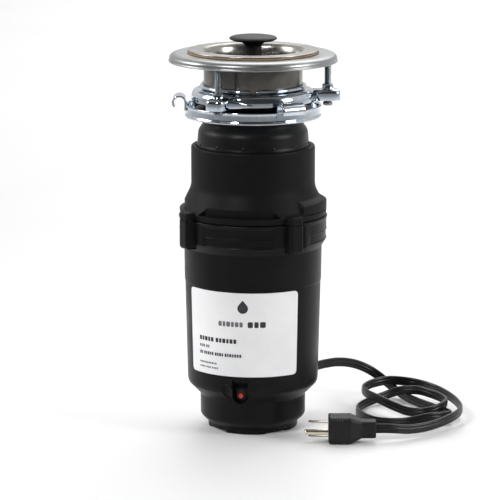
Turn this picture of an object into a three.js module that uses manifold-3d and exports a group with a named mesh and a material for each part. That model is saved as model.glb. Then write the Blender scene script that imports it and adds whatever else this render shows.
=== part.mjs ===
// Kitchen garbage disposal: sink mount, hopper, grind chamber, permanent-magnet motor, cord and plug.
// Millimetres, +Z up. The origin is the middle of the foot, on the shaft's axis; the label faces -Y.
import * as THREE from "three";
import { mergeVertices } from "three/addons/utils/BufferGeometryUtils.js";
import Module from "manifold-3d";

const wasm = await Module();
wasm.setup();

// ---- driving dimensions ---------------------------------------------------------------------

const GAP = 0.3; // between neighbouring pieces
const RUNNING_GAP = 0.7; // between the turntable and the grind ring
const WALL = 3; // moulded housings
const ROUND = 28; // facets of a large round
const SMALL_ROUND = 12; // facets of a small round

// motor shell
const SHELL_STEP = 6.3; // shell's radius under the band, beyond the hopper's
const SHELL_TAPER = 3; // radius lost from top to bottom corner
const BASE_STEP = 11.2; // lower cylinder in from the shell's bottom corner
const BASE_TOP = 31;
const FOOT_INSET = 6.9; // foot's edge in from the lower cylinder
const FOOT_HEIGHT = 5.1;
const FOOT_WALL = 5.5;
const FOOT_CHAMFER = 5.6;
const FLOOR = 8; // inside floor of the shell
const BOSS_RADIUS = 10; // flat boss in the middle of the foot
const BAND_OVERHANG = 4.4; // band beyond the shell
const BAND_HEIGHT = 27;
const LOBE_RADIUS = 8;
const LOBE_REACH = 11.9; // lobe's outer edge beyond the shell
const LOBE_ANGLES = [45, 135, 225, 315];
const STEP_DROP = 58; // fine step round the shell, below the seam
const NOTCH_WIDTH = 31; // between the foot's pads
const NOTCH_HEIGHT = 1.8;
const SCREW_SHANK = 2; // radii of the housing screws
const SCREW_HEAD = 3.6;
const SCREW_LENGTH = 24;

// motor
const CAN_HEIGHT = 92.4;
const CAN_WALL = 1.6;
const CAN_CLEARANCE = 7.2; // between the can and the shell's outside at its top
const CAN_LEDGE = 2.2; // shell under the can's edge
const MAGNET_THICKNESS = 16;
const BRUSH_ROOM = 29.4; // in the can under the magnets
const END_ROOM = 13; // in the can above the magnets
const CORE_INSET = 5; // core's ends inside the magnets'
const MAGNET_SPAN = 148; // degrees
const AIR_GAP = 1.2;
const SHAFT_RADIUS = 4;
const BEARING_RADIUS = 11;
const BEARING_HEIGHT = 6;
const CORE_SLOTS = 12;
const WINDING_HEIGHT = 8;
const COMMUTATOR_RADIUS = 10.4;
const COMMUTATOR_HEIGHT = 12;
const BRUSH = { width: 8, height: 7, length: 14 };
const HOLDER_ROOM = 7.6; // brush holders' ends in from the can's wall
const HOLDER_WALL = 2.4;
const SPRING_RADIUS = 2.8;
const SPRING_WIRE = 0.5;
const SPRING_TURNS = 3;
const SPRING_STEPS = 8; // along one turn
const BELL_THICKNESS = 4;

// grind chamber
const CHAMBER_MARGIN = 4.3; // chamber's height beyond the spout's
const FLANGE_DEPTH = 4.6; // chamber's flange, with its seal on top
const FLANGE_REACH = 3.4;
const SEAL_DEPTH = 2.2;
const SEAL_INSET = 2;
const RING_HEIGHT = 22;
const RING_WALL = 4;
const RING_SLOTS = 12;
const TURNTABLE_THICKNESS = 2.5;
const HUB_RADIUS = 12;
const NUT_RADIUS = 8.4; // across its corners
const PIVOT_INSET = 18.2; // impeller pins in from the turntable's edge
const PIN_RADIUS = 3;
const IMPELLER_REACH = 16.5; // from its pin to its tip
const SPOUT_BORE = 16.5;
const SPOUT_WALL = 3.1;
const OUTLET_REACH = 12.8; // outlet flange's face beyond the band
const EAR_OFFSET = 8.4; // outlet flange's screw holes outside the spout
const DRAIN_EAR = 6.5; // radius, depth and screw hole of the flange's ears
const DRAIN_DEPTH = 5;
const DRAIN_HOLE = 2.5;
const SPOUT_MARGIN = 3.9; // spout's top below the seam

// upper housing
const HOPPER_HEIGHT = 61.5; // seam to rim
const SHOULDER_HEIGHT = 24; // seam to the top of the shoulder
const FLANGE_HEIGHT = 5.8;
const RIM_WALL = 4.3;
const INLET_BORE = 8.5;
const INLET_WALL = 2.6;
const INLET_REACH = 23.5; // inlet's end beyond the hopper
const INLET_HEIGHT = 44.5; // inlet's axis above the seam

// sink mount
const NECK_RADIUS = 43.3; // the sink's drain sets it, and the widths below follow
const NECK_WALL = 2;
const NECK_LENGTH = 48.2;
const CUSHION_ROOM = 11.2; // hopper's radius beyond the neck's
const CUSHION_RISE = 25; // housing rim to the lower ring
const SINK_OVERLAP = 13.8; // sink flange beyond the neck
const SINK_RIM = 1.3;
const GASKET_THICKNESS = 1.1;
const BACKUP_OVERLAP = 8.65; // backup flange beyond the screws
const BACKUP_HEIGHT = 7.5;
const BACKUP_PLATE = 2.2;
const RING_STEP = 5.55; // lower mounting ring beyond the hopper
const RING_DEPTH = 11.2;
const SHEET = 1.8; // stamped steel
const MOUNT_SCREW = 3.1;
const SCREW_FLANGE = 1.2; // head beyond the screw
const SCREW_CLEARANCE = 1.15; // between the heads and the lower ring
const EAR_ANGLES = [15.6, 135.6, 255.6];
const LUG_ANGLES = [73, 193, 313];
const EAR_WIDTH = 18;
const EAR_DEPTH = 9.7;
const LUG_RADIUS = 6.4;
const LUG_LENGTH = 22;
const SNAP_WIRE = 1.6;
const SNAP_GAP = 7; // degrees left open at the front
const STOPPER_CAP = 21.4;
const STOPPER_STEM = 7.4;

// label, reset switch, cord and plug
const FRONT = 271.5; // degrees; the label and the reset button
const LABEL = { width: 108, height: 75, corner: 6, thick: 0.4 };
const LABEL_RISE = 6.5; // label's middle above the middle of the shell
const RESET_DROP = 3.7; // reset button's axis below the shell's bottom corner
const RESET_RADIUS = 2.45;
const RESET_TRAVEL = 3;
const CORD_ANGLE = 60;
const CORD_DROP = 4.2; // cord's exit below the shell's bottom corner
const CORD_WIDTH = 8.4;
const CORD_THICKNESS = 3.6;
const RELIEF_RADIUS = 5.2;
const RELIEF_LENGTH = 34;
const PLUG = { width: 24, height: 24, length: 20, tail: 21.8, tailHeight: 15.3 };
const BLADE = { width: 6.3, thick: 1.5, length: 17, spacing: 12.7 };
const GROUND = { radius: 2.4, length: 21, offset: 11.9 };
const VIEW_TURN = 13; // degrees from the cord's own axes to the part's axes

// The cord's centreline, in axes turned by VIEW_TURN: out of the relief, over itself and to the plug.
const CORD_POINTS = [
  [56.5, 60.8, 38], [67, 72, 38], [80, 85, 36.4], [95, 97.5, 31.5], [109, 104.5, 24],
  [121, 104.5, 15.5], [131, 98, 8.2], [138.5, 86, 5], [145.5, 71, 4.6], [154, 55, 4.6], [164, 39, 4.6],
  [173, 23, 5], [177, 5.5, 6.8], [171.5, -11, 9.6], [157, -20.5, 11], [135, -22.5, 7.2],
  [112, -11, 4.7], [97.5, 12, 4.6], [95.5, 36, 4.6], [105, 58, 4.8], [120, 73, 6.8], [135, 78.5, 10.6],
  [151, 74, 12.4], [164, 61, 12], [172.5, 44, 12], [174.5, 27, 12.8], [169, 11.5, 12.6],
  [156.5, 3.5, 10], [141, 8.5, 8.8], [127.5, 22, 10.4], [115.5, 37.5, 12.6], [105, 54, 13.8],
  [102, 72, 14], [110, 87.5, 15], [126, 96.8, 16], [148, 96.5, 14.2], [167, 82, 12.2], [179, 58, 11.2],
  [185.5, 31, 11], [186, 3, 11.6], [176, -22, 11.2], [157.5, -40, 8.8], [138, -53, 8.8],
  [126, -60.4, 11], [116.5, -62.9, 12], [107.5, -63, 12],
];

// ---- levels and radii that follow -------------------------------------------------------------

const HOPPER_RADIUS = NECK_RADIUS + CUSHION_ROOM;
const SHELL_RADIUS = HOPPER_RADIUS + SHELL_STEP;
const CORNER_RADIUS = SHELL_RADIUS - SHELL_TAPER;
const BASE_RADIUS = CORNER_RADIUS - BASE_STEP;
const FOOT_RADIUS = BASE_RADIUS - FOOT_INSET;
const CORNER_Z = BASE_TOP + BASE_STEP; // 45 degree corner
const RESET_HEIGHT = CORNER_Z - RESET_DROP;
const CORD_HEIGHT = CORNER_Z - CORD_DROP;
const CAN_RADIUS = SHELL_RADIUS - SHELL_TAPER - CAN_CLEARANCE;
const CAN_Z = CORNER_Z + 4.3;
const CAN_TOP = CAN_Z + CAN_HEIGHT;
const MAGNET_HEIGHT = CAN_HEIGHT - BRUSH_ROOM - END_ROOM;
const MAGNET_Z = CAN_Z + BRUSH_ROOM;
const CORE_HEIGHT = MAGNET_HEIGHT - 2 * CORE_INSET;
const HOLDER_END = CAN_RADIUS - CAN_WALL - HOLDER_ROOM;
const BELL_Z = CAN_TOP + GAP;
const BELL_ROOM = 4.8; // from the end bell up to the chamber
const CHAMBER_Z = BELL_Z + BELL_THICKNESS + BELL_ROOM;
const SPOUT_RADIUS = SPOUT_BORE + SPOUT_WALL;
const SEAM_Z = CHAMBER_Z + 2 * SPOUT_RADIUS + CHAMBER_MARGIN;
const STEP_Z = SEAM_Z - STEP_DROP;
const BAND_Z = SEAM_Z - BAND_HEIGHT;
const BAND_RADIUS = SHELL_RADIUS + BAND_OVERHANG;
const LOBE_CIRCLE = SHELL_RADIUS + LOBE_REACH - LOBE_RADIUS;
const OUTLET_Z = SEAM_Z - SPOUT_RADIUS - SPOUT_MARGIN;
const OUTLET_FACE = BAND_RADIUS + OUTLET_REACH;
const OUTLET_EAR = SPOUT_RADIUS + EAR_OFFSET;
const CHAMBER_RADIUS = CORNER_RADIUS - WALL + 1.9;
const SHELL_BORE = CHAMBER_RADIUS + 2 * GAP;
const RING_OUTER = HOPPER_RADIUS - WALL - 2 * GAP;
const RING_INNER = RING_OUTER - RING_WALL;
const RING_Z = SEAM_Z + GAP;
const TURNTABLE_RADIUS = RING_INNER - RUNNING_GAP;
const PIVOT_RADIUS = TURNTABLE_RADIUS - PIVOT_INSET;
const TURNTABLE_Z = SEAM_Z + 3.5;
const TURNTABLE_TOP = TURNTABLE_Z + TURNTABLE_THICKNESS;
const SHAFT_BORE = SHAFT_RADIUS + GAP;
const RIM_Z = SEAM_Z + HOPPER_HEIGHT;
const INLET_RADIUS = INLET_BORE + INLET_WALL;
const INLET_FACE = HOPPER_RADIUS + INLET_REACH;
const CUSHION_RADIUS = HOPPER_RADIUS - RIM_WALL - 2 * GAP;
const SEAT_Z = RIM_Z - 7;
const RING_RADIUS = HOPPER_RADIUS + RING_STEP;
const SCREW_CIRCLE = RING_RADIUS + MOUNT_SCREW + SCREW_FLANGE + SCREW_CLEARANCE;
const LOWER_RING_Z = RIM_Z + CUSHION_RISE;
const LOWER_RING_TOP = LOWER_RING_Z + RING_DEPTH;
const NECK_Z = LOWER_RING_Z + 10;
const SINK_Z = NECK_Z + NECK_LENGTH;
const NECK_BORE = NECK_RADIUS - NECK_WALL;
const SINK_RADIUS = NECK_RADIUS + SINK_OVERLAP;
const BACKUP_RADIUS = SCREW_CIRCLE + BACKUP_OVERLAP;
const BACKUP_TOP = SINK_Z - GASKET_THICKNESS - 2 * GAP;
const BACKUP_Z = BACKUP_TOP - BACKUP_HEIGHT;
const EAR_TOP = LOWER_RING_TOP + 13;
const EAR_Z = EAR_TOP - EAR_DEPTH;
const SNAP_Z = EAR_TOP + 3.3;
const GUARD_Z = SNAP_Z - 9;
const GUARD_TOP = GUARD_Z + 16;
const GUARD_SLEEVE = 2.2;
const GUARD_EYE = 10;

// ---- geometry helpers -------------------------------------------------------------------------

const radians = THREE.MathUtils.degToRad;

/** A ring or disc turned about Z from (radius, height) corners listed anticlockwise. */
function lathe(corners, facets = ROUND) {
  const closed = corners[0][0] > 0 ? [...corners, corners[0]] : corners;
  const profile = closed.map(([radius, height]) => new THREE.Vector2(radius, height));
  return new THREE.LatheGeometry(profile, facets).rotateX(Math.PI / 2);
}

/** A plain tube section: a ring between two radii and two heights. */
function ring(inner, outer, low, high, facets = ROUND) {
  return lathe([[inner, low], [outer, low], [outer, high], [inner, high]], facets);
}

/** A round post along Z. */
function post(radius, low, high, facets = SMALL_ROUND) {
  return new THREE.CylinderGeometry(radius, radius, high - low, facets)
    .rotateX(Math.PI / 2)
    .translate(0, 0, (low + high) / 2);
}

/** A round bar along X from one distance to another, at a height. */
function bar(radius, from, to, height, facets = SMALL_ROUND) {
  return post(radius, from, to, facets).rotateY(Math.PI / 2).translate(0, 0, height);
}

/** A box given by its low and high corners. */
function block(low, high) {
  return new THREE.BoxGeometry(high[0] - low[0], high[1] - low[1], high[2] - low[2]).translate(
    (low[0] + high[0]) / 2,
    (low[1] + high[1]) / 2,
    (low[2] + high[2]) / 2,
  );
}

/** A flat outline in X and Y raised from one height to another. */
function prism(shape, low, high, curveSegments = 6) {
  const settings = { depth: high - low, bevelEnabled: false, curveSegments };
  return new THREE.ExtrudeGeometry(shape, settings).translate(0, 0, low);
}

/** A rectangle centred on (x, y) with rounded corners. */
function roundedRectangle(width, height, corner, x = 0, y = 0) {
  const shape = new THREE.Shape();
  const [right, top] = [x + width / 2, y + height / 2];
  const [left, bottom] = [x - width / 2, y - height / 2];
  shape.moveTo(left + corner, bottom);
  shape.absarc(right - corner, bottom + corner, corner, -Math.PI / 2, 0);
  shape.absarc(right - corner, top - corner, corner, 0, Math.PI / 2);
  shape.absarc(left + corner, top - corner, corner, Math.PI / 2, Math.PI);
  shape.absarc(left + corner, bottom + corner, corner, Math.PI, 1.5 * Math.PI);
  shape.closePath();
  return shape;
}

/** An arc-shaped outline between two radii, centred on +X, over a span in degrees. */
function arcOutline(inner, outer, span) {
  const half = radians(span) / 2;
  const shape = new THREE.Shape();
  shape.absarc(0, 0, outer, -half, half, false);
  shape.absarc(0, 0, inner, half, -half, true);
  shape.closePath();
  return shape;
}

/** A section carried along a curve, closed at both ends. */
function sweep(section, curve, steps, curveSegments = 3) {
  return new THREE.ExtrudeGeometry(section, { extrudePath: curve, steps, curveSegments });
}

/** Turns geometry about Z by degrees. */
function turned(geometry, degrees) {
  return geometry.rotateZ(radians(degrees));
}

function toSolid(geometry) {
  const bare = geometry.clone();
  bare.deleteAttribute("normal");
  bare.deleteAttribute("uv");
  const merged = mergeVertices(bare, 1e-4);
  const vertProperties = merged.attributes.position.array;
  const triVerts = new Uint32Array(merged.index.array);
  return new wasm.Manifold(new wasm.Mesh({ numProp: 3, vertProperties, triVerts }));
}

function toGeometry(solid) {
  const mesh = solid.getMesh();
  const geometry = new THREE.BufferGeometry();
  geometry.setAttribute("position", new THREE.BufferAttribute(mesh.vertProperties, 3));
  geometry.setIndex(new THREE.BufferAttribute(mesh.triVerts, 1));
  return geometry;
}

function join(first, ...others) {
  return toGeometry(others.reduce((solid, other) => solid.add(toSolid(other)), toSolid(first)));
}

function cut(first, ...tools) {
  return toGeometry(tools.reduce((solid, tool) => solid.subtract(toSolid(tool)), toSolid(first)));
}

function common(first, second) {
  return toGeometry(toSolid(first).intersect(toSolid(second)));
}

// ---- finishes ---------------------------------------------------------------------------------

const FINISHES = {
  blackPlastic: { color: 0x1c1c1d, roughness: 0.5, metalness: 0 },
  blackRubber: { color: 0x151515, roughness: 0.8, metalness: 0 },
  stainless: { color: 0xb8b0a6, roughness: 0.28, metalness: 1 },
  zinc: { color: 0x9c9e9f, roughness: 0.42, metalness: 1 },
  chrome: { color: 0xdfe4ea, roughness: 0.12, metalness: 1 },
  fibre: { color: 0x9a7c58, roughness: 0.9, metalness: 0 },
  steel: { color: 0x8f9294, roughness: 0.35, metalness: 1 },
  copper: { color: 0xa8562e, roughness: 0.4, metalness: 1 },
  ferrite: { color: 0x3a3a3c, roughness: 0.7, metalness: 0 },
  carbon: { color: 0x262626, roughness: 0.85, metalness: 0 },
  brass: { color: 0xb59a52, roughness: 0.3, metalness: 1 },
  white: { color: 0xf4f4f2, roughness: 0.45, metalness: 0 },
  red: { color: 0xc4232a, roughness: 0.4, metalness: 0 },
  grey: { color: 0x6e7072, roughness: 0.6, metalness: 0 },
};

/** A named mesh with its own material and flat facets. */
function piece(name, geometry, finish) {
  const facets = geometry.index ? geometry.toNonIndexed() : geometry;
  facets.computeVertexNormals();
  const mesh = new THREE.Mesh(facets, new THREE.MeshStandardMaterial(FINISHES[finish]));
  mesh.name = name;
  return mesh;
}

/** Places a mesh on a circle round the axis, turned to face outwards. */
function onCircle(mesh, radius, degrees, height = 0) {
  const angle = radians(degrees);
  mesh.position.set(radius * Math.cos(angle), radius * Math.sin(angle), height);
  mesh.rotation.z = angle;
  return mesh;
}

// ---- sink mount -------------------------------------------------------------------------------

function sinkMount() {
  const group = new THREE.Group();
  group.add(
    piece("sink_flange", sinkFlange(), "stainless"),
    piece("fibre_gasket", fibreGasket(), "fibre"),
    piece("backup_flange", backupFlange(), "zinc"),
    piece("snap_ring", snapRing(), "steel"),
    piece("upper_mount_ring", upperMountRing(), "chrome"),
    piece("lower_mount_ring", lowerMountRing(), "chrome"),
    piece("splash_guard", splashGuard(), "blackRubber"),
    piece("stopper", stopper(), "blackPlastic"),
    piece("stopper_seal", stopperSeal(), "blackRubber"),
  );
  EAR_ANGLES.forEach((angle, index) => {
    const screw = piece("mount_screw_" + (index + 1), mountScrew(), "steel");
    group.add(onCircle(screw, SCREW_CIRCLE, angle));
  });
  return group;
}

function sinkFlange() {
  return lathe([
    [NECK_BORE, NECK_Z],
    [NECK_RADIUS, NECK_Z],
    [NECK_RADIUS, SINK_Z - 1.4],
    [NECK_RADIUS + 1, SINK_Z],
    [SINK_RADIUS, SINK_Z],
    [SINK_RADIUS, SINK_Z + SINK_RIM - 0.3],
    [SINK_RADIUS - 1.2, SINK_Z + SINK_RIM],
    [NECK_RADIUS + 0.7, SINK_Z + SINK_RIM],
    [NECK_BORE + 0.3, SINK_Z - 4],
  ]);
}

function fibreGasket() {
  const top = SINK_Z - GAP;
  return ring(NECK_RADIUS + 2, SINK_RADIUS + 0.4, top - GASKET_THICKNESS, top);
}

function backupFlange() {
  const skirt = BACKUP_RADIUS - SHEET;
  return lathe([
    [NECK_RADIUS + 2, BACKUP_TOP - BACKUP_PLATE],
    [skirt - 3, BACKUP_TOP - BACKUP_PLATE],
    [skirt - 0.6, BACKUP_Z + 3],
    [skirt - 0.6, BACKUP_Z],
    [BACKUP_RADIUS, BACKUP_Z],
    [BACKUP_RADIUS, BACKUP_Z + 4],
    [BACKUP_RADIUS - 2.2, BACKUP_TOP - 1.2],
    [BACKUP_RADIUS - 5.6, BACKUP_TOP],
    [NECK_RADIUS + 2, BACKUP_TOP],
  ]);
}

function snapRing() {
  const section = new THREE.Shape().absarc(0, 0, SNAP_WIRE, 0, 2 * Math.PI);
  const radius = NECK_RADIUS + GAP + SNAP_WIRE;
  const start = radians(270 + VIEW_TURN + SNAP_GAP / 2);
  const sweepAngle = 2 * Math.PI - radians(SNAP_GAP);
  const centreline = new THREE.EllipseCurve(0, 0, radius, radius, start, start + sweepAngle);
  const points = centreline.getPoints(30).map((point) => new THREE.Vector3(point.x, point.y, SNAP_Z));
  return sweep(section, new THREE.CatmullRomCurve3(points), 28);
}

function upperMountRing() {
  const inner = NECK_RADIUS + 2 * GAP;
  const skirt = inner + 8.6;
  const body = lathe([
    [skirt, EAR_Z + 0.4],
    [skirt + SHEET, EAR_Z + 0.4],
    [skirt + SHEET - 0.4, EAR_TOP - 2.4],
    [skirt - 0.6, EAR_TOP + 0.9],
    [inner, EAR_TOP + 0.9],
    [inner, EAR_TOP - 0.9],
    [skirt - 1.6, EAR_TOP - 1.1],
  ]);
  return join(body, ...EAR_ANGLES.map((angle) => turned(mountEar(skirt), angle)));
}

/** A channel-shaped ear along +X with the threaded collar of its screw. */
function mountEar(skirt) {
  const end = SCREW_CIRCLE + 11;
  const start = skirt - 1.4;
  const outline = roundedRectangle(end - start, EAR_WIDTH, 5.5, (start + end) / 2, 0);
  const hollow = roundedRectangle(end - start - 2 * SHEET, EAR_WIDTH - 2 * SHEET, 4, (start + end) / 2, 0);
  const channel = cut(prism(outline, EAR_Z, EAR_TOP, 2), prism(hollow, EAR_Z - 1, EAR_TOP - SHEET, 2));
  const collar = post(5, EAR_TOP - SHEET / 2, EAR_TOP + 4.4).translate(SCREW_CIRCLE, 0, 0);
  const inside = post(skirt, EAR_Z - 2, EAR_TOP + 1, ROUND);
  const hole = post(MOUNT_SCREW + GAP, EAR_Z, EAR_TOP + 6).translate(SCREW_CIRCLE, 0, 0);
  return cut(join(cut(channel, inside), collar), hole);
}

/** One mounting screw at the origin's axis: slotted head below, thread up to the backup flange. */
function mountScrew() {
  const tip = BACKUP_TOP - BACKUP_PLATE - GAP;
  const body = lathe(
    [
      [0, EAR_Z - 5],
      [MOUNT_SCREW + SCREW_FLANGE, EAR_Z - 5],
      [MOUNT_SCREW + SCREW_FLANGE, EAR_Z - 2],
      [MOUNT_SCREW, EAR_Z - 1.6],
      [MOUNT_SCREW, tip - 1.4],
      [MOUNT_SCREW - 1, tip],
      [0, tip],
    ],
    SMALL_ROUND,
  );
  return cut(body, block([-5, -0.6, EAR_Z - 6], [5, 0.6, EAR_Z - 3.6]));
}

function lowerMountRing() {
  const wall = RING_RADIUS - SHEET;
  const lip = CUSHION_RADIUS - 3.8;
  const body = lathe([
    [lip, LOWER_RING_Z],
    [RING_RADIUS - 1.6, LOWER_RING_Z],
    [RING_RADIUS, LOWER_RING_Z + 1.6],
    [RING_RADIUS, LOWER_RING_TOP],
    [wall, LOWER_RING_TOP],
    [wall, LOWER_RING_Z + SHEET],
    [lip, LOWER_RING_Z + SHEET],
  ]);
  return join(body, ...LUG_ANGLES.map((angle) => turned(rolledLug(), angle)));
}

/** A strip that rises from the rim and curls outwards into an open roll, along Y at +X. */
function rolledLug() {
  const centre = RING_RADIUS - SHEET + LUG_RADIUS;
  const middle = LOWER_RING_TOP + 2.2;
  const inner = LUG_RADIUS - SHEET;
  const shape = new THREE.Shape();
  shape.moveTo(centre - LUG_RADIUS, LOWER_RING_TOP - 4);
  shape.lineTo(centre - inner, LOWER_RING_TOP - 4);
  shape.absarc(centre, middle, inner, Math.PI, radians(-40), true);
  shape.absarc(centre, middle, LUG_RADIUS, radians(-40), Math.PI, false);
  shape.closePath();
  return prism(shape, -LUG_LENGTH / 2, LUG_LENGTH / 2, 5).rotateX(Math.PI / 2);
}

function splashGuard() {
  const radius = NECK_BORE - GAP;
  const body = lathe([
    [GUARD_EYE, GUARD_Z + 1.4],
    [30, GUARD_Z + 3.4],
    [radius - GUARD_SLEEVE, GUARD_Z + 2],
    [radius - GUARD_SLEEVE, GUARD_Z],
    [radius, GUARD_Z],
    [radius, GUARD_TOP],
    [radius - GUARD_SLEEVE, GUARD_TOP],
    [radius - GUARD_SLEEVE, GUARD_Z + 5.4],
    [30, GUARD_Z + 5.4],
    [GUARD_EYE, GUARD_Z + 3.4],
  ]);
  const slits = [0, 45, 90, 135].map((angle) =>
    turned(block([-32, -0.6, GUARD_Z - 1], [32, 0.6, GUARD_TOP - 4]), angle + 22.5),
  );
  return cut(body, ...slits);
}

function stopper() {
  const base = GUARD_TOP + GAP;
  const disc = NECK_BORE - 6;
  const cap = SINK_Z + SINK_RIM + 7.6;
  return lathe([
    [0, base],
    [disc, base],
    [disc, base + 5],
    [disc - 6, base + 6.5],
    [STOPPER_STEM + 1.2, base + 8.5],
    [STOPPER_STEM, base + 12],
    [STOPPER_STEM, cap],
    [STOPPER_CAP - 2.4, cap + 1.6],
    [STOPPER_CAP, cap + 3.4],
    [STOPPER_CAP - 2, cap + 5],
    [STOPPER_CAP - 9, cap + 6.2],
    [0, cap + 6.6],
  ]);
}

function stopperSeal() {
  const base = GUARD_TOP + GAP;
  const inner = NECK_BORE - 6 + GAP;
  return lathe([
    [inner, base + 0.6],
    [NECK_BORE - 2 * GAP, base + 0.2],
    [NECK_BORE - 2 * GAP, base + 2.4],
    [inner, base + 4.4],
  ]);
}

// ---- hopper and grind chamber -----------------------------------------------------------------

function hopper() {
  const group = new THREE.Group();
  group.add(
    piece("rubber_mount", rubberMount(), "blackRubber"),
    piece("upper_housing", upperHousing(), "blackPlastic"),
    piece("inlet_plug", inletPlug(), "blackPlastic"),
    piece("housing_gasket", housingGasket(), "blackRubber"),
    piece("shredder_ring", shredderRing(), "stainless"),
    piece("drain_chamber", drainChamber(), "blackPlastic"),
  );
  LOBE_ANGLES.forEach((angle, index) => {
    const screw = piece("housing_screw_" + (index + 1), housingScrew(), "steel");
    group.add(onCircle(screw, LOBE_CIRCLE, angle));
  });
  return group;
}

/** The cushion: seated in the housing's rim, waisted through the lower ring, sealing on the neck. */
function rubberMount() {
  const bore = NECK_BORE - 3;
  const waist = CUSHION_RADIUS - 5.4;
  return lathe([
    [bore + 4, SEAT_Z + GAP],
    [CUSHION_RADIUS, SEAT_Z + GAP],
    [CUSHION_RADIUS, RIM_Z + 8],
    [CUSHION_RADIUS - 1.4, RIM_Z + 14.5],
    [waist + 2, RIM_Z + 19],
    [waist, RIM_Z + 21],
    [waist, LOWER_RING_Z + SHEET + GAP],
    [CUSHION_RADIUS + 2, LOWER_RING_Z + SHEET + GAP],
    [CUSHION_RADIUS + 2, NECK_Z - 2.4],
    [NECK_RADIUS, NECK_Z - GAP],
    [bore + 1, NECK_Z - GAP],
    [bore, NECK_Z - 4],
    [bore, RIM_Z],
  ]);
}

function upperHousing() {
  const bottom = SEAM_Z + GAP;
  const flangeTop = SEAM_Z + FLANGE_HEIGHT;
  const shoulder = SEAM_Z + SHOULDER_HEIGHT;
  const seat = CUSHION_RADIUS + GAP;
  const bore = HOPPER_RADIUS - WALL;
  const body = lathe([
    [bore, bottom],
    [BAND_RADIUS, bottom],
    [BAND_RADIUS + 0.2, flangeTop],
    [BAND_RADIUS - 1.4, flangeTop + 2],
    [HOPPER_RADIUS + 0.4, shoulder],
    [HOPPER_RADIUS, shoulder + 4],
    [HOPPER_RADIUS, RIM_Z - 1.6],
    [HOPPER_RADIUS - 1.2, RIM_Z],
    [seat, RIM_Z],
    [seat, SEAT_Z],
    [NECK_BORE + 2, SEAT_Z],
    [NECK_BORE + 2, SEAT_Z - 5],
    [bore, SEAT_Z - 12],
  ]);
  const lobes = LOBE_ANGLES.map((angle) =>
    turned(post(LOBE_RADIUS, bottom, flangeTop).translate(LOBE_CIRCLE, 0, 0), angle),
  );
  const inletZ = SEAM_Z + INLET_HEIGHT;
  const nipple = turned(bar(INLET_RADIUS, HOPPER_RADIUS - 1.5, INLET_FACE, inletZ, 20), 90);
  const bore90 = turned(bar(INLET_BORE, HOPPER_RADIUS - WALL - 3, INLET_FACE + 2, inletZ, 20), 90);
  const core = post(bore, bottom - 1, SEAT_Z - 12, ROUND);
  const recesses = LOBE_ANGLES.map((angle) => turned(screwRecess(bottom + 2.6), angle));
  return cut(join(body, ...lobes, nipple), core, bore90, ...recesses);
}

/** Counterbore and clearance hole of a housing screw, standing at the lobe circle on +X. */
function screwRecess(shelf) {
  const counterbore = post(SCREW_HEAD + 2 * GAP, shelf, shelf + 12);
  const hole = post(SCREW_SHANK + GAP, shelf - 6, shelf + 1);
  return join(counterbore, hole).translate(LOBE_CIRCLE, 0, 0);
}

function housingScrew() {
  const under = SEAM_Z + GAP + 2.6 + GAP;
  const head = under + 2.4;
  const body = lathe(
    [
      [0, head - SCREW_LENGTH],
      [SCREW_SHANK, head - SCREW_LENGTH],
      [SCREW_SHANK, under],
      [SCREW_HEAD, under],
      [SCREW_HEAD, head - 0.6],
      [SCREW_HEAD - 0.8, head],
      [0, head],
    ],
    SMALL_ROUND,
  );
  const crossA = block([-2.4, -0.5, head - 1.2], [2.4, 0.5, head + 1]);
  const crossB = block([-0.5, -2.4, head - 1.2], [0.5, 2.4, head + 1]);
  return cut(body, crossA, crossB);
}

function inletPlug() {
  const start = HOPPER_RADIUS - WALL + 1;
  return turned(bar(INLET_BORE - GAP, start, start + 2, SEAM_Z + INLET_HEIGHT, 20), 90);
}

function housingGasket() {
  return ring(CHAMBER_RADIUS - SEAL_INSET, CHAMBER_RADIUS + FLANGE_REACH, SEAM_Z - SEAL_DEPTH, SEAM_Z);
}

/** Steel grind ring with vertical slots cut up from its lower edge. */
function shredderRing() {
  const body = ring(RING_INNER, RING_OUTER, RING_Z, RING_Z + RING_HEIGHT);
  const slots = Array.from({ length: RING_SLOTS }, (_, index) =>
    turned(
      block([RING_INNER - 2, -1.6, RING_Z - 1], [RING_OUTER + 2, 1.6, RING_Z + 9]),
      (360 / RING_SLOTS) * (index + 0.5),
    ),
  );
  return cut(body, ...slots);
}

function drainChamber() {
  const inner = CHAMBER_RADIUS - 2.6;
  const ledge = RING_INNER + 1.6;
  const top = SEAM_Z - 0.1;
  const sealPocket = HUB_RADIUS;
  const body = lathe([
    [sealPocket, CHAMBER_Z],
    [CHAMBER_RADIUS - 3, CHAMBER_Z],
    [CHAMBER_RADIUS, CHAMBER_Z + 3],
    [CHAMBER_RADIUS, SEAM_Z - FLANGE_DEPTH],
    [CHAMBER_RADIUS + FLANGE_REACH, SEAM_Z - FLANGE_DEPTH],
    [CHAMBER_RADIUS + FLANGE_REACH, SEAM_Z - SEAL_DEPTH - GAP],
    [CHAMBER_RADIUS - SEAL_INSET - GAP, SEAM_Z - SEAL_DEPTH - GAP],
    [CHAMBER_RADIUS - 2 - GAP, top],
    [ledge, top],
    [ledge, top - 2.4],
    [inner, top - 6],
    [inner, CHAMBER_Z + 4.5],
    [inner - 1.5, CHAMBER_Z + 3],
    [sealPocket + 4, CHAMBER_Z + 3],
    [sealPocket + 4, CHAMBER_Z + 8],
    [sealPocket, CHAMBER_Z + 8],
  ]);
  const spout = turned(bar(SPOUT_RADIUS, inner + 0.4, OUTLET_FACE - 4, OUTLET_Z, 24), 90);
  const bore = turned(bar(SPOUT_BORE, inner - 12, OUTLET_FACE, OUTLET_Z, 24), 90);
  return cut(join(body, spout), bore);
}

// ---- motor shell ------------------------------------------------------------------------------

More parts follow.
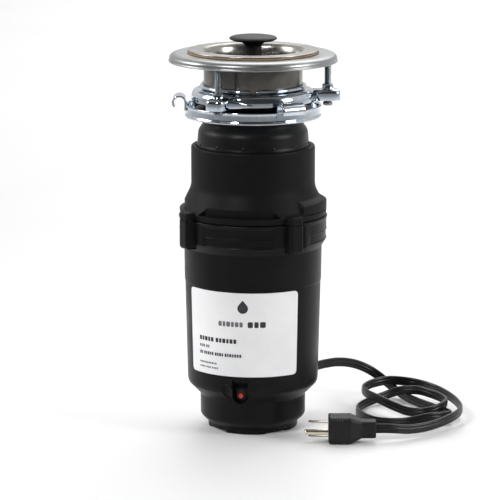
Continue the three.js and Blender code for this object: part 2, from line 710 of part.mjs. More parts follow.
function shell() {
  const group = new THREE.Group();
  group.add(
    piece("lower_shell", lowerShell(), "blackPlastic"),
    piece("label", label(), "white"),
    piece("overload_switch", overloadSwitch(), "grey"),
    piece("reset_button", resetButton(), "red"),
    piece("rectifier", rectifier(), "ferrite"),
    piece("strain_relief", strainRelief(), "blackRubber"),
  );
  return group;
}

/** Shell radius outside at a height between its bottom corner and the band. */
function shellRadiusAt(height) {
  const share = (height - CORNER_Z) / (BAND_Z - CORNER_Z);
  return CORNER_RADIUS + SHELL_TAPER * THREE.MathUtils.clamp(share, 0, 1);
}

function lowerShell() {
  const body = lathe([
    [0, 0],
    [BOSS_RADIUS, 0],
    [BOSS_RADIUS + 0.8, 3],
    [FOOT_RADIUS - FOOT_WALL - 0.8, 3],
    [FOOT_RADIUS - FOOT_WALL, 0],
    [FOOT_RADIUS, 0],
    [FOOT_RADIUS, FOOT_HEIGHT],
    [BASE_RADIUS - 1, FOOT_HEIGHT + FOOT_CHAMFER],
    [BASE_RADIUS, BASE_TOP],
    [CORNER_RADIUS - 0.5, CORNER_Z - 0.8],
    [CORNER_RADIUS + 0.1, CORNER_Z + 2],
    [shellRadiusAt(STEP_Z) - 0.3, STEP_Z],
    [shellRadiusAt(STEP_Z) + 0.3, STEP_Z + 0.8],
    [SHELL_RADIUS, BAND_Z],
    [BAND_RADIUS - 1, BAND_Z + 3],
    [BAND_RADIUS, SEAM_Z],
    [0, SEAM_Z],
  ]);
  const ledge = CAN_RADIUS - CAN_LEDGE;
  const baseBore = BASE_RADIUS - WALL;
  const chamberLedge = SEAM_Z - FLANGE_DEPTH - GAP;
  const cavity = lathe([
    [0, FLOOR],
    [baseBore - 4, FLOOR],
    [baseBore - 0.8, FLOOR + 4],
    [baseBore, CORNER_Z - 3 - (ledge - baseBore)],
    [ledge, CORNER_Z - 3],
    [ledge, CAN_Z - GAP],
    [CAN_RADIUS + 4.4, CAN_Z - GAP],
    [SHELL_BORE, CHAMBER_Z - 8],
    [SHELL_BORE, chamberLedge],
    [SHELL_BORE + 3.2, chamberLedge],
    [SHELL_BORE + 3.2, SEAM_Z + 1],
    [0, SEAM_Z + 1],
  ]);
  const lobes = LOBE_ANGLES.map((angle) =>
    turned(post(LOBE_RADIUS, BAND_Z + 1, SEAM_Z).translate(LOBE_CIRCLE, 0, 0), angle),
  );
  const screwHoles = LOBE_ANGLES.map((angle) => {
    const bottom = SEAM_Z - SCREW_LENGTH + 3;
    return turned(post(SCREW_SHANK + GAP, bottom, SEAM_Z + 1).translate(LOBE_CIRCLE, 0, 0), angle);
  });
  const solid = join(body, ...lobes, outletBoss(), resetShroud(), cordBoss());
  const openings = [...screwHoles, ...outletHoles(), resetPocket(), cordHole(), ...footNotches()];
  return cut(solid, cavity, ...openings);
}

/** Four notches that leave the foot standing on four pads. */
function footNotches() {
  return [0, 1, 2, 3].map((index) =>
    turned(
      block(
        [FOOT_RADIUS - FOOT_WALL - 2, -NOTCH_WIDTH / 2, -1],
        [FOOT_RADIUS + 2, NOTCH_WIDTH / 2, NOTCH_HEIGHT],
      ),
      FRONT + 45 + 90 * index,
    ),
  );
}

/** Round boss behind the band with a two-eared flange for the drain elbow. */
function outletBoss() {
  const outer = SPOUT_RADIUS + 3.2;
  const tube = turned(bar(outer, SHELL_BORE - 1, OUTLET_FACE, OUTLET_Z, 24), 90);
  const ears = [-1, 1].map((side) =>
    turned(bar(DRAIN_EAR, OUTLET_FACE - DRAIN_DEPTH, OUTLET_FACE, OUTLET_Z), 90)
      .translate(side * OUTLET_EAR, 0, 0),
  );
  const bridge = block(
    [-OUTLET_EAR, OUTLET_FACE - DRAIN_DEPTH, OUTLET_Z - DRAIN_EAR],
    [OUTLET_EAR, OUTLET_FACE, OUTLET_Z + DRAIN_EAR],
  );
  return join(tube, ...ears, bridge);
}

function outletHoles() {
  const bore = turned(bar(SPOUT_RADIUS + GAP, SHELL_BORE - 8, OUTLET_FACE + 1, OUTLET_Z, 24), 90);
  const screws = [-1, 1].map((side) =>
    turned(bar(DRAIN_HOLE, OUTLET_FACE - DRAIN_DEPTH - 1, OUTLET_FACE + 1, OUTLET_Z), 90)
      .translate(side * OUTLET_EAR, 0, 0),
  );
  return [bore, ...screws];
}

/** A tall U-shaped outline standing along +X: round below, straight above, carried out radially. */
function resetProfile(radius, top, from, to) {
  const shape = new THREE.Shape();
  shape.moveTo(radius, top);
  shape.lineTo(-radius, top);
  shape.lineTo(-radius, RESET_HEIGHT);
  shape.absarc(0, RESET_HEIGHT, radius, Math.PI, 2 * Math.PI, false);
  shape.closePath();
  return prism(shape, from, to, 4).rotateX(Math.PI / 2).rotateZ(Math.PI / 2);
}

function resetShroud() {
  return turned(resetProfile(7.35, CORNER_Z + 8, BASE_RADIUS - 2, CORNER_RADIUS - 1.6), FRONT);
}

function resetPocket() {
  const pocket = resetProfile(5.6, CORNER_Z + 6, BASE_RADIUS + 3.6, CORNER_RADIUS + 4);
  const hole = bar(5, CAN_RADIUS - 10, BASE_RADIUS + 5, RESET_HEIGHT);
  return turned(join(pocket, hole), FRONT);
}

function overloadSwitch() {
  const face = BASE_RADIUS - WALL - 2.6;
  const top = RESET_HEIGHT + 5.6;
  const body = block([face - 15, -8, RESET_HEIGHT - 11], [face, 8, top]);
  const collar = bar(4.6, face - 1, BASE_RADIUS + 4.2, RESET_HEIGHT);
  const bore = bar(RESET_RADIUS + GAP, face - 9, BASE_RADIUS + 6, RESET_HEIGHT);
  return turned(cut(join(body, collar), bore), FRONT);
}

function resetButton() {
  const face = BASE_RADIUS - WALL - 2.6;
  const back = face - 9 + GAP + RESET_TRAVEL;
  return turned(bar(RESET_RADIUS, back, BASE_RADIUS + 4.2 + RESET_TRAVEL, RESET_HEIGHT), FRONT);
}

/** Bridge board for the motor's direct current: a slab with a raised heat tab, on the floor. */
function rectifier() {
  const low = FLOOR + GAP;
  const board = block([-14, -12, low], [14, 12, low + 2]);
  const bridge = block([-9, -9, low + 1.9], [5, 9, low + 9]);
  const tab = block([5, -7, low + 1.9], [7, 7, low + 14]);
  return join(board, bridge, tab);
}

/** The white sticker, wrapped on the shell. */
function label() {
  const middle = (CORNER_Z + STEP_Z) / 2 + LABEL_RISE;
  const low = middle - LABEL.height / 2 - 1;
  const high = middle + LABEL.height / 2 + 1;
  const inner = (height) => shellRadiusAt(height) + 0.1 + GAP;
  const sleeve = lathe(
    [
      [inner(low), low],
      [inner(low) + LABEL.thick, low],
      [inner(high) + LABEL.thick, high],
      [inner(high), high],
    ],
    ROUND,
  );
  const chord = 2 * CORNER_RADIUS * Math.sin(LABEL.width / 2 / SHELL_RADIUS);
  const outline = roundedRectangle(chord, LABEL.height, LABEL.corner, 0, middle);
  const window = prism(outline, 10, SHELL_RADIUS + 10, 4).rotateX(Math.PI / 2);
  return common(sleeve, turned(window, FRONT - 270));
}

// ---- motor ------------------------------------------------------------------------------------

function motor() {
  const group = new THREE.Group();
  const coreZ = MAGNET_Z + CORE_INSET;
  const coreRadius = CAN_RADIUS - CAN_WALL - 2 * GAP - MAGNET_THICKNESS - AIR_GAP;
  const windingZ = coreZ - WINDING_HEIGHT - GAP;
  group.add(
    piece("shaft", shaft(), "steel"),
    piece("upper_bearing", bearing(BELL_Z + BELL_THICKNESS - BEARING_HEIGHT - GAP), "steel"),
    piece("lower_bearing", bearing(CAN_Z + GAP), "steel"),
    piece("shaft_seal", ring(SHAFT_BORE, HUB_RADIUS - GAP, CHAMBER_Z + GAP, CHAMBER_Z + 7.6, 24), "blackRubber"),
    piece("motor_can", motorCan(), "steel"),
    piece("end_bell", endBell(), "zinc"),
    piece("armature_core", armatureCore(coreRadius, coreZ), "steel"),
    piece("winding_bottom", winding(coreRadius, windingZ), "copper"),
    piece("winding_top", winding(coreRadius, coreZ + CORE_HEIGHT + GAP), "copper"),
    piece("commutator", commutator(), "copper"),
    piece("brush_plate", brushPlate(), "carbon"),
  );
  [0, 180].forEach((angle, index) => {
    const suffix = "_" + (index + 1);
    const arc = prism(magnetOutline(), MAGNET_Z, MAGNET_Z + MAGNET_HEIGHT, 8);
    group.add(onCircle(piece("magnet" + suffix, arc, "ferrite"), 0, angle + 90));
    group.add(onCircle(piece("brush" + suffix, brush(), "carbon"), 0, angle));
    group.add(onCircle(piece("brush_spring" + suffix, brushSpring(), "steel"), 0, angle));
  });
  return group;
}

function magnetOutline() {
  const outer = CAN_RADIUS - CAN_WALL - 2 * GAP;
  return arcOutline(outer - MAGNET_THICKNESS, outer, MAGNET_SPAN);
}

function shaft() {
  return lathe(
    [
      [0, CAN_Z + 1],
      [SHAFT_RADIUS - 0.6, CAN_Z + 1],
      [SHAFT_RADIUS, CAN_Z + 2],
      [SHAFT_RADIUS, TURNTABLE_TOP + 9],
      [0, TURNTABLE_TOP + 9],
    ],
    16,
  );
}

function bearing(low) {
  const high = low + BEARING_HEIGHT;
  return ring(SHAFT_BORE, BEARING_RADIUS, low, high, 20);
}

/** Deep-drawn can with the lower bearing's pocket in its floor. */
function motorCan() {
  const pocket = BEARING_RADIUS + GAP;
  const inner = CAN_RADIUS - CAN_WALL;
  return lathe([
    [pocket, CAN_Z],
    [CAN_RADIUS, CAN_Z],
    [CAN_RADIUS, CAN_TOP],
    [inner, CAN_TOP],
    [inner, CAN_Z + CAN_WALL],
    [pocket + CAN_WALL, CAN_Z + CAN_WALL],
    [pocket + CAN_WALL, CAN_Z + 7],
    [pocket, CAN_Z + 7],
  ]);
}

function endBell() {
  const pocket = BEARING_RADIUS + GAP;
  const top = BELL_Z + BELL_THICKNESS;
  return lathe([
    [pocket, top - BEARING_HEIGHT - 1],
    [pocket + 3, top - BEARING_HEIGHT - 1],
    [pocket + 3, BELL_Z],
    [CAN_RADIUS, BELL_Z],
    [CAN_RADIUS, top],
    [pocket, top],
  ]);
}

/** Slotted lamination stack: T-shaped teeth round a hub, each slot open to the air gap. */
function armatureCore(radius, low) {
  const shape = new THREE.Shape();
  const pitch = (2 * Math.PI) / CORE_SLOTS;
  const place = (r, angle) => new THREE.Vector2(r * Math.cos(angle), r * Math.sin(angle));
  const points = [];
  for (let slot = 0; slot < CORE_SLOTS; slot += 1) {
    const start = slot * pitch;
    points.push(place(radius, start + pitch * 0.08));
    points.push(place(radius, start + pitch * 0.5));
    points.push(place(radius, start + pitch * 0.92));
    points.push(place(radius * 0.9, start + pitch * 0.86));
    points.push(place(radius * 0.58, start + pitch * 0.8));
    points.push(place(radius * 0.58, start + pitch * 1.2));
    points.push(place(radius * 0.9, start + pitch * 1.14));
  }
  shape.setFromPoints(points);
  shape.holes.push(new THREE.Path().absarc(0, 0, SHAFT_BORE, 0, 2 * Math.PI, true));
  return prism(shape, low, low + CORE_HEIGHT, 8);
}

function winding(coreRadius, low) {
  const outer = coreRadius * 0.86;
  const high = low + WINDING_HEIGHT;
  return lathe(
    [
      [SHAFT_BORE, low],
      [outer - 3, low],
      [outer, low + 3],
      [outer, high - 3],
      [outer - 3, high],
      [SHAFT_BORE, high],
    ],
    24,
  );
}

function commutatorZ() {
  return CAN_Z + 13;
}

function commutator() {
  const low = commutatorZ();
  return ring(SHAFT_BORE, COMMUTATOR_RADIUS, low, low + COMMUTATOR_HEIGHT, 20);
}

/** Insulating plate with two tunnels that guide the brushes along X. */
function brushPlate() {
  const low = commutatorZ() - 3.4;
  const middle = commutatorZ() + COMMUTATOR_HEIGHT / 2;
  const plate = ring(COMMUTATOR_RADIUS + 3, CAN_RADIUS - CAN_WALL - GAP, low, low + 2.4);
  const half = BRUSH.width / 2;
  const rise = BRUSH.height / 2;
  const holders = [0, 180].map((angle) =>
    turned(
      block([COMMUTATOR_RADIUS + 3, -half - 2, low + 1], [HOLDER_END, half + 2, middle + rise + 2]),
      angle,
    ),
  );
  const tunnels = [0, 180].map((angle) =>
    turned(
      block(
        [COMMUTATOR_RADIUS, -half - GAP, middle - rise - GAP],
        [HOLDER_END - HOLDER_WALL, half + GAP, middle + rise + GAP],
      ),
      angle,
    ),
  );
  return cut(join(plate, ...holders), ...tunnels);
}

function brush() {
  const middle = commutatorZ() + COMMUTATOR_HEIGHT / 2;
  const start = COMMUTATOR_RADIUS + GAP + 0.2;
  return block(
    [start, -BRUSH.width / 2, middle - BRUSH.height / 2],
    [start + BRUSH.length, BRUSH.width / 2, middle + BRUSH.height / 2],
  );
}

/** Coil spring behind a brush, along X. */
function brushSpring() {
  const middle = commutatorZ() + COMMUTATOR_HEIGHT / 2;
  const start = COMMUTATOR_RADIUS + 0.2 + BRUSH.length + 3 * GAP + SPRING_WIRE;
  const end = HOLDER_END - HOLDER_WALL - 2 * GAP - SPRING_WIRE;
  const steps = SPRING_TURNS * SPRING_STEPS;
  const points = Array.from({ length: steps + 1 }, (_, index) => {
    const angle = (index / SPRING_STEPS) * 2 * Math.PI;
    const along = start + ((end - start) * index) / steps;
    const lift = middle + SPRING_RADIUS * Math.sin(angle);
    return new THREE.Vector3(along, SPRING_RADIUS * Math.cos(angle), lift);
  });
  const section = new THREE.Shape().absarc(0, 0, SPRING_WIRE, 0, 2 * Math.PI);
  return sweep(section, new THREE.CatmullRomCurve3(points), steps, 2.5);
}

// ---- turntable --------------------------------------------------------------------------------

function grinder() {
  const group = new THREE.Group();
  group.add(
    piece("turntable", turntable(), "stainless"),
    piece("turntable_nut", turntableNut(), "steel"),
  );
  [0, 180].forEach((angle, index) => {
    const suffix = "_" + (index + 1);
    group.add(onCircle(piece("impeller" + suffix, impeller(), "stainless"), PIVOT_RADIUS, angle));
    group.add(onCircle(piece("impeller_pin" + suffix, impellerPin(), "steel"), PIVOT_RADIUS, angle));
  });
  return group;
}

function turntable() {
  const body = lathe([
    [SHAFT_BORE, CHAMBER_Z + 10],
    [HUB_RADIUS - 3, CHAMBER_Z + 10],
    [HUB_RADIUS, TURNTABLE_Z - 6],
    [HUB_RADIUS, TURNTABLE_Z],
    [TURNTABLE_RADIUS, TURNTABLE_Z],
    [TURNTABLE_RADIUS, TURNTABLE_TOP],
    [SHAFT_BORE, TURNTABLE_TOP],
  ]);
  const pinHoles = [-1, 1].map((side) =>
    post(PIN_RADIUS + GAP, TURNTABLE_Z - 1, TURNTABLE_TOP + 1).translate(side * PIVOT_RADIUS, 0, 0),
  );
  const drainHoles = [60, 120, 240, 300].map((angle) =>
    turned(post(2.4, TURNTABLE_Z - 1, TURNTABLE_TOP + 1, 10).translate(PIVOT_RADIUS + 7, 0, 0), angle),
  );
  return cut(body, ...pinHoles, ...drainHoles);
}

function turntableNut() {
  const low = TURNTABLE_TOP + GAP;
  return cut(post(NUT_RADIUS, low, low + 6.5, 6), post(SHAFT_BORE, low - 1, low + 8, 16));
}

/** Swivelling hammer: a flat arm on its pin with a raised toe at the tip, at the pin's axis. */
function impeller() {
  const low = TURNTABLE_TOP + GAP;
  const arm = new THREE.Shape();
  arm.moveTo(0, -7);
  arm.lineTo(IMPELLER_REACH - 2.5, -6);
  arm.lineTo(IMPELLER_REACH - 2.5, 6);
  arm.lineTo(0, 7);
  arm.absarc(0, 0, 7, Math.PI / 2, 1.5 * Math.PI, false);
  const toe = block([IMPELLER_REACH - 8.5, -5.6, low + 0.4], [IMPELLER_REACH - 2.8, 5.6, low + 13]);
  return cut(join(prism(arm, low, low + 5), toe), post(PIN_RADIUS + GAP, low - 1, low + 7));
}

function impellerPin() {
  const low = TURNTABLE_Z - 1.8;
  const shelf = TURNTABLE_TOP + 2 * GAP + 5;
  return lathe(
    [
      [0, low],
      [PIN_RADIUS + 1.2, low],
      [PIN_RADIUS + 1.2, TURNTABLE_Z - GAP],
      [PIN_RADIUS, TURNTABLE_Z - GAP],
      [PIN_RADIUS, shelf],
      [PIN_RADIUS + 1.4, shelf],
      [PIN_RADIUS + 0.6, shelf + 1.8],
      [0, shelf + 1.8],
    ],
    SMALL_ROUND,
  );
}

// ---- cord and plug ----------------------------------------------------------------------------

function cordBoss() {
  return turned(bar(RELIEF_RADIUS + 3.4, BASE_RADIUS - 2, CORNER_RADIUS - 1, CORD_HEIGHT), CORD_ANGLE);
}

function cordHole() {
  const bore = bar(RELIEF_RADIUS + GAP, BASE_RADIUS - WALL - 6, CORNER_RADIUS + 2, CORD_HEIGHT);
  return turned(bore, CORD_ANGLE);
}

/** Tapered relief from inside the boss out to where the cord leaves it. */
function strainRelief() {
  const start = CORNER_RADIUS - 8;
  const end = CORNER_RADIUS + RELIEF_LENGTH - 9;
  const taper = lathe(
    [
      [0, start],
      [RELIEF_RADIUS, start],
      [RELIEF_RADIUS, CORNER_RADIUS],
      [CORD_WIDTH / 2 + 0.6, end],
      [0, end],
    ],
    SMALL_ROUND,
  );
  return turned(taper.rotateY(Math.PI / 2).translate(0, 0, CORD_HEIGHT), CORD_ANGLE);
}

function cordAndPlug() {
  const group = new THREE.Group();
  group.rotation.z = radians(VIEW_TURN);
  group.add(piece("power_cord", powerCord(), "blackRubber"));
  const [x, y, z] = CORD_POINTS[CORD_POINTS.length - 1];
  const plug = new THREE.Group();
  plug.position.set(x - GAP, y, z);
  plug.add(piece("plug_body", plugBody(), "blackRubber"));
  const bladeX = -PLUG.length - PLUG.tail - GAP;
  [-1, 1].forEach((side, index) => {
    const level = (side * BLADE.spacing) / 2;
    const blade = block(
      [bladeX - BLADE.length, -BLADE.width / 2, level - BLADE.thick / 2],
      [bladeX, BLADE.width / 2, level + BLADE.thick / 2],
    );
    plug.add(piece("plug_blade_" + (index + 1), blade, "brass"));
  });
  const pin = bar(GROUND.radius, bladeX - GROUND.length, bladeX, 0).translate(0, -GROUND.offset, 0);
  plug.add(piece("plug_ground_pin", pin, "brass"));
  group.add(plug);
  return group;
}

/** Flat three-conductor cord: an oval section with the stated width and thickness. */
function powerCord() {
  const section = new THREE.Shape().absellipse(0, 0, CORD_WIDTH / 2, CORD_THICKNESS / 2, 0, 2 * Math.PI);
  const points = CORD_POINTS.map(([x, y, z]) => new THREE.Vector3(x, y, z));
  const curve = new THREE.CatmullRomCurve3(points, false, "centripetal");
  return sweep(section, curve, 60, 4);
}

/** Moulded plug: a rounded head and a tapering tail, from the cord's end along -X. */
function plugBody() {
  const depth = PLUG.width;
  const shape = new THREE.Shape();
  const tail = PLUG.tailHeight / 2;
  const half = PLUG.height / 2;
  shape.moveTo(0, -tail);
  shape.lineTo(0, tail);
  shape.lineTo(-PLUG.tail * 0.55, tail);
  shape.lineTo(-PLUG.tail, half);
  shape.lineTo(-PLUG.tail - PLUG.length, half);
  shape.lineTo(-PLUG.tail - PLUG.length, -half);
  shape.lineTo(-PLUG.tail, -half);
  shape.lineTo(-PLUG.tail * 0.55, -tail);
  shape.closePath();
  return prism(shape, -depth / 2, depth / 2).rotateX(Math.PI / 2);
}

// ---- assembly ---------------------------------------------------------------------------------

const group = new THREE.Group();
group.add(sinkMount(), hopper(), shell(), motor(), grinder(), cordAndPlug());

export default group;
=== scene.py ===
"""The looks of a kitchen garbage disposal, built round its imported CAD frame.

Shapes are worked out in millimetres in the frame's own axes and written to meshes in metres.
"""

import logging
import math
from collections.abc import Callable, Sequence
from dataclasses import dataclass, field
from enum import Enum

import bpy
import numpy as np
from mathutils import Matrix, Vector


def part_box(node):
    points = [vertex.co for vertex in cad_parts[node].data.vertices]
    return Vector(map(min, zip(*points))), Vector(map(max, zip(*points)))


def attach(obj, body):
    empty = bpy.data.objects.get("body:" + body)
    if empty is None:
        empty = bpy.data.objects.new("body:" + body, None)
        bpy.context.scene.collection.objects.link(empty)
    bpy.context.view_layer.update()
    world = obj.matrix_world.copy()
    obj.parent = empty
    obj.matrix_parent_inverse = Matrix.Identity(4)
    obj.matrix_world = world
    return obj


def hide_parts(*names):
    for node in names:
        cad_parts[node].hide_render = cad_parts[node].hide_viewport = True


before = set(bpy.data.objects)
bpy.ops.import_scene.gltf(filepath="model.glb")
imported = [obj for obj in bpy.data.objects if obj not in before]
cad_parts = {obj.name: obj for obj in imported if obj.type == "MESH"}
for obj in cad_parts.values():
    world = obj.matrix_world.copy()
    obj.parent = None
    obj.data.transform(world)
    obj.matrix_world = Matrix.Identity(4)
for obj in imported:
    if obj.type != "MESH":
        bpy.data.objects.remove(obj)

log = logging.getLogger("disposal")
MM = 0.001
FULL = 2 * math.pi
Corner = tuple[float, ...]


# ---- numbers and profiles -------------------------------------------------------------------


def node_box(node: str) -> tuple[np.ndarray, np.ndarray]:
    """Lowest and highest corner of a CAD node, in millimetres.

    Args:
        node: The CAD node's name.

    Returns:
        The two corners as arrays of three numbers.
    """
    low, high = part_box(node)
    return np.array(low) / MM, np.array(high) / MM


def smooth_step(value: np.ndarray) -> np.ndarray:
    """0 below 0, 1 above 1, and 3t^2 - 2t^3 between."""
    t = np.clip(value, 0.0, 1.0)
    return t * t * (3 - 2 * t)


def turn_between(angle: np.ndarray, centre: float) -> np.ndarray:
    """Angle from a centre, brought into -pi to pi."""
    return (angle - centre + math.pi) % FULL - math.pi


def soften(corners: Sequence[Corner], steps: int = 5, closed: bool = False) -> np.ndarray:
    """A line through corners, each rounded by a quadratic curve of its own reach.

    Round a corner C the curve runs from A to B, both `reach` away along the edges:
    (1-t)^2 A + 2t(1-t) C + t^2 B.

    Args:
        corners: (x, y, reach) or (x, y) for each corner, anticlockwise for a closed outline.
        steps: Segments in each rounding.
        closed: Whether the last corner joins the first.

    Returns:
        Points of the rounded line, n by 2.
    """
    points = np.array([corner[:2] for corner in corners], float)
    reach = [corner[2] if len(corner) > 2 else 0.0 for corner in corners]
    count = len(points)
    t = np.linspace(0, 1, steps + 1)[:, None]
    out: list[np.ndarray] = []
    for index in range(count):
        here = points[index]
        ends = not closed and index in (0, count - 1)
        if ends or reach[index] <= 0:
            out.append(here[None])
            continue
        before, after = points[index - 1] - here, points[(index + 1) % count] - here
        room = 0.49 * min(np.linalg.norm(before), np.linalg.norm(after))
        r = min(reach[index], room)
        a = here + before / np.linalg.norm(before) * r
        b = here + after / np.linalg.norm(after) * r
        out.append((1 - t) ** 2 * a + 2 * t * (1 - t) * here + t**2 * b)
    return np.concatenate(out)


def subdivide(line: np.ndarray, step: float, zones: Sequence[tuple[float, float, float]] = ()) -> np.ndarray:
    """A line with its long segments cut into shorter ones.

    Args:
        line: Points, n by 2, as (radius, height).
        step: Longest segment anywhere.
        zones: (lowest height, highest height, longest segment there).

    Returns:
        Points of the same line, m by 2.
    """
    out: list[np.ndarray] = []
    for a, b in zip(line[:-1], line[1:]):
        low, high = sorted((a[1], b[1]))
        limit = min([step] + [fine for z0, z1, fine in zones if high >= z0 and low <= z1])
        parts = max(1, math.ceil(float(np.linalg.norm(b - a)) / limit))
        out.append(a + (b - a) * (np.arange(parts) / parts)[:, None])
    out.append(line[-1:])
    return np.concatenate(out)


def directions(step: float, zones: Sequence[tuple[float, float, float]] = ()) -> np.ndarray:
    """Angles once round, in radians, closer together near chosen directions.

    Args:
        step: Degrees between angles elsewhere.
        zones: (centre, half width, step) in degrees.

    Returns:
        Sorted angles from 0 up to a full turn.
    """
    sets = [np.arange(0, 360, step)]
    for centre, half, _ in zones:
        sets[0] = sets[0][np.abs((sets[0] - centre + 180) % 360 - 180) > half]
    sets += [np.arange(centre - half, centre + half + fine / 2, fine) % 360 for centre, half, fine in zones]
    return np.radians(np.unique(np.round(np.concatenate(sets), 4)))


# ---- surfaces -------------------------------------------------------------------------------


@dataclass
class Skin:
    """One closed surface: rows and columns of points, and how its edges close.

    Attributes:
        points: Rows by columns by 3, in millimetres.
        loop: Whether the last row joins the first; otherwise each end gets a cap.
        uv: Rows by columns by 2, or None.
    """

    points: np.ndarray
    loop: bool = False
    uv: np.ndarray | None = None

    def parts(self) -> tuple[np.ndarray, list[np.ndarray], np.ndarray]:
        """Vertices, faces and texture places, with faces turned outwards.

        Returns:
            The vertices n by 3, a list of face arrays (quads, then triangles), and n by 2 places.
        """
        rows, columns, _ = self.points.shape
        places = self.uv if self.uv is not None else np.zeros((rows, columns, 2))
        index = np.arange(rows * columns).reshape(rows, columns)
        below = index if self.loop else index[:-1]
        above = np.roll(index, -1, 0) if self.loop else index[1:]
        quads = np.stack([below, np.roll(below, -1, 1), np.roll(above, -1, 1), above], -1).reshape(-1, 4)
        vertices = self.points.reshape(-1, 3)
        places = places.reshape(-1, 2)
        faces = [quads]
        if not self.loop:
            middles = np.stack([self.points[0].mean(0), self.points[-1].mean(0)])
            vertices = np.concatenate([vertices, middles])
            places = np.concatenate([places, places[[0, -1]]])
            first, last = index[0], index[-1]
            start = np.stack([np.full(columns, len(vertices) - 2), np.roll(first, -1), first], -1)
            end = np.stack([np.full(columns, len(vertices) - 1), last, np.roll(last, -1)], -1)
            faces.append(np.concatenate([start, end]))
        volume = 0.0
        for group in faces:
            for k in range(1, group.shape[1] - 1):
                a, b, c = vertices[group[:, 0]], vertices[group[:, k]], vertices[group[:, k + 1]]
                volume += float(np.einsum("ij,ij->", a, np.cross(b, c)))
        if volume < 0:
            faces = [group[:, ::-1] for group in faces]
        return vertices, faces, places

    def moved(self, matrix: Matrix) -> "Skin":
        """The same surface carried by a 4 by 4 matrix whose shift is in millimetres."""
        m = np.array(matrix)
        return Skin(self.points @ m[:3, :3].T + m[:3, 3], self.loop, self.uv)


def turned(angle: float, shift: Sequence[float] = (0, 0, 0)) -> Matrix:
    """A shift followed by a turn about Z."""
    return Matrix.Rotation(angle, 4, "Z") @ Matrix.Translation(Vector(shift))


def along_x(angle: float, height: float) -> Matrix:
    """Lays a surface made about Z along a horizontal direction at a height."""
    lift = Matrix.Translation((0, 0, height))
    return Matrix.Rotation(angle, 4, "Z") @ lift @ Matrix.Rotation(math.pi / 2, 4, "Y")


def revolve(
    line: np.ndarray,
    angles: np.ndarray | int = 120,
    loop: bool = False,
    reshape: Callable[[np.ndarray, np.ndarray, np.ndarray], np.ndarray] | None = None,
) -> Skin:
    """A profile turned about Z: (r cos a, r sin a, z), with r first passed through a shape.

    Args:
        line: (radius, height) points.
        angles: The directions, or how many equal ones.
        loop: Whether the profile is a closed outline.
        reshape: Gives a new radius from angle, radius and height, each rows by columns.

    Returns:
        The surface.
    """
    a = np.linspace(0, FULL, angles, endpoint=False) if isinstance(angles, int) else angles
    angle, radius = np.broadcast_arrays(a[None, :], line[:, :1])
    height = np.broadcast_to(line[:, 1:2], angle.shape)
    if reshape is not None:
        radius = reshape(angle, radius, height)
    return Skin(np.stack([radius * np.cos(angle), radius * np.sin(angle), height], -1), loop)


def carried(
    section: np.ndarray,
    path: np.ndarray,
    across: np.ndarray,
    up: np.ndarray,
    scale: np.ndarray | None = None,
) -> Skin:
    """A section carried along a path: each point is path + across * u + up * v.

    Args:
        section: Outline of (u, v) points, or one outline for each step of the path.
        path: Centre points, n by 3.
        across: Unit direction of u at each step.
        up: Unit direction of v at each step.
        scale: How large the section is at each step.

    Returns:
        The surface, with its texture place along the path and round the section.
    """
    outline = np.broadcast_to(section, (len(path), *section.shape[-2:]))
    if scale is not None:
        outline = outline * scale[:, None, None]
    points = path[:, None] + outline[..., :1] * across[:, None] + outline[..., 1:] * up[:, None]
    run = np.concatenate([[0], np.cumsum(np.linalg.norm(np.diff(path, axis=0), axis=1))])
    around = np.linspace(0, 1, outline.shape[1], endpoint=False)
    uv = np.stack(np.broadcast_arrays(run[:, None] * MM, around[None, :]), -1)
    return Skin(points, uv=uv)


def superellipse(half_x: float, half_y: float, power: float, count: int) -> np.ndarray:
    """Points of |x/a|^n + |y/b|^n = 1: an ellipse at n 2, nearly a rectangle at n 6."""
    t = np.linspace(0, FULL, count, endpoint=False)
    c, s = np.cos(t), np.sin(t)
    x = half_x * np.sign(c) * np.abs(c) ** (2 / power)
    y = half_y * np.sign(s) * np.abs(s) ** (2 / power)
    return np.stack([x, y], -1)


def curve_through(points: np.ndarray, steps: int) -> np.ndarray:
    """The centripetal Catmull-Rom curve through points.

    Between two points the tangents are those of the same curve's cubic, with knots spaced by
    the square root of the distance between points.

    Args:
        points: Points, n by 3.
        steps: Segments between two neighbouring points.

    Returns:
        Points on the curve, (n - 1) * steps + 1 by 3.
    """
    padded = np.concatenate([2 * points[:1] - points[1:2], points, 2 * points[-1:] - points[-2:-1]])
    p0, p1, p2, p3 = padded[:-3], padded[1:-2], padded[2:-1], padded[3:]
    d0, d1, d2 = (np.linalg.norm(b - a, axis=1)[:, None] ** 0.5 for a, b in ((p0, p1), (p1, p2), (p2, p3)))
    m1 = ((p1 - p0) / d0 - (p2 - p0) / (d0 + d1) + (p2 - p1) / d1) * d1
    m2 = ((p2 - p1) / d1 - (p3 - p1) / (d1 + d2) + (p3 - p2) / d2) * d1
    t = (np.arange(steps) / steps)[None, :, None]
    square, cube = -3 * p1 + 3 * p2 - 2 * m1 - m2, 2 * p1 - 2 * p2 + m1 + m2
    a, b, c, d = (part[:, None] for part in (p1, m1, square, cube))
    return np.concatenate([(a + b * t + c * t**2 + d * t**3).reshape(-1, 3), points[-1:]])


# ---- finishes -------------------------------------------------------------------------------


class Grain(Enum):
    """How a surface's fine relief runs."""

    MOULDED = "moulded"
    BRUSHED = "brushed"
    CAST = "cast"
    SMOOTH = "smooth"
    RIBBED = "ribbed"


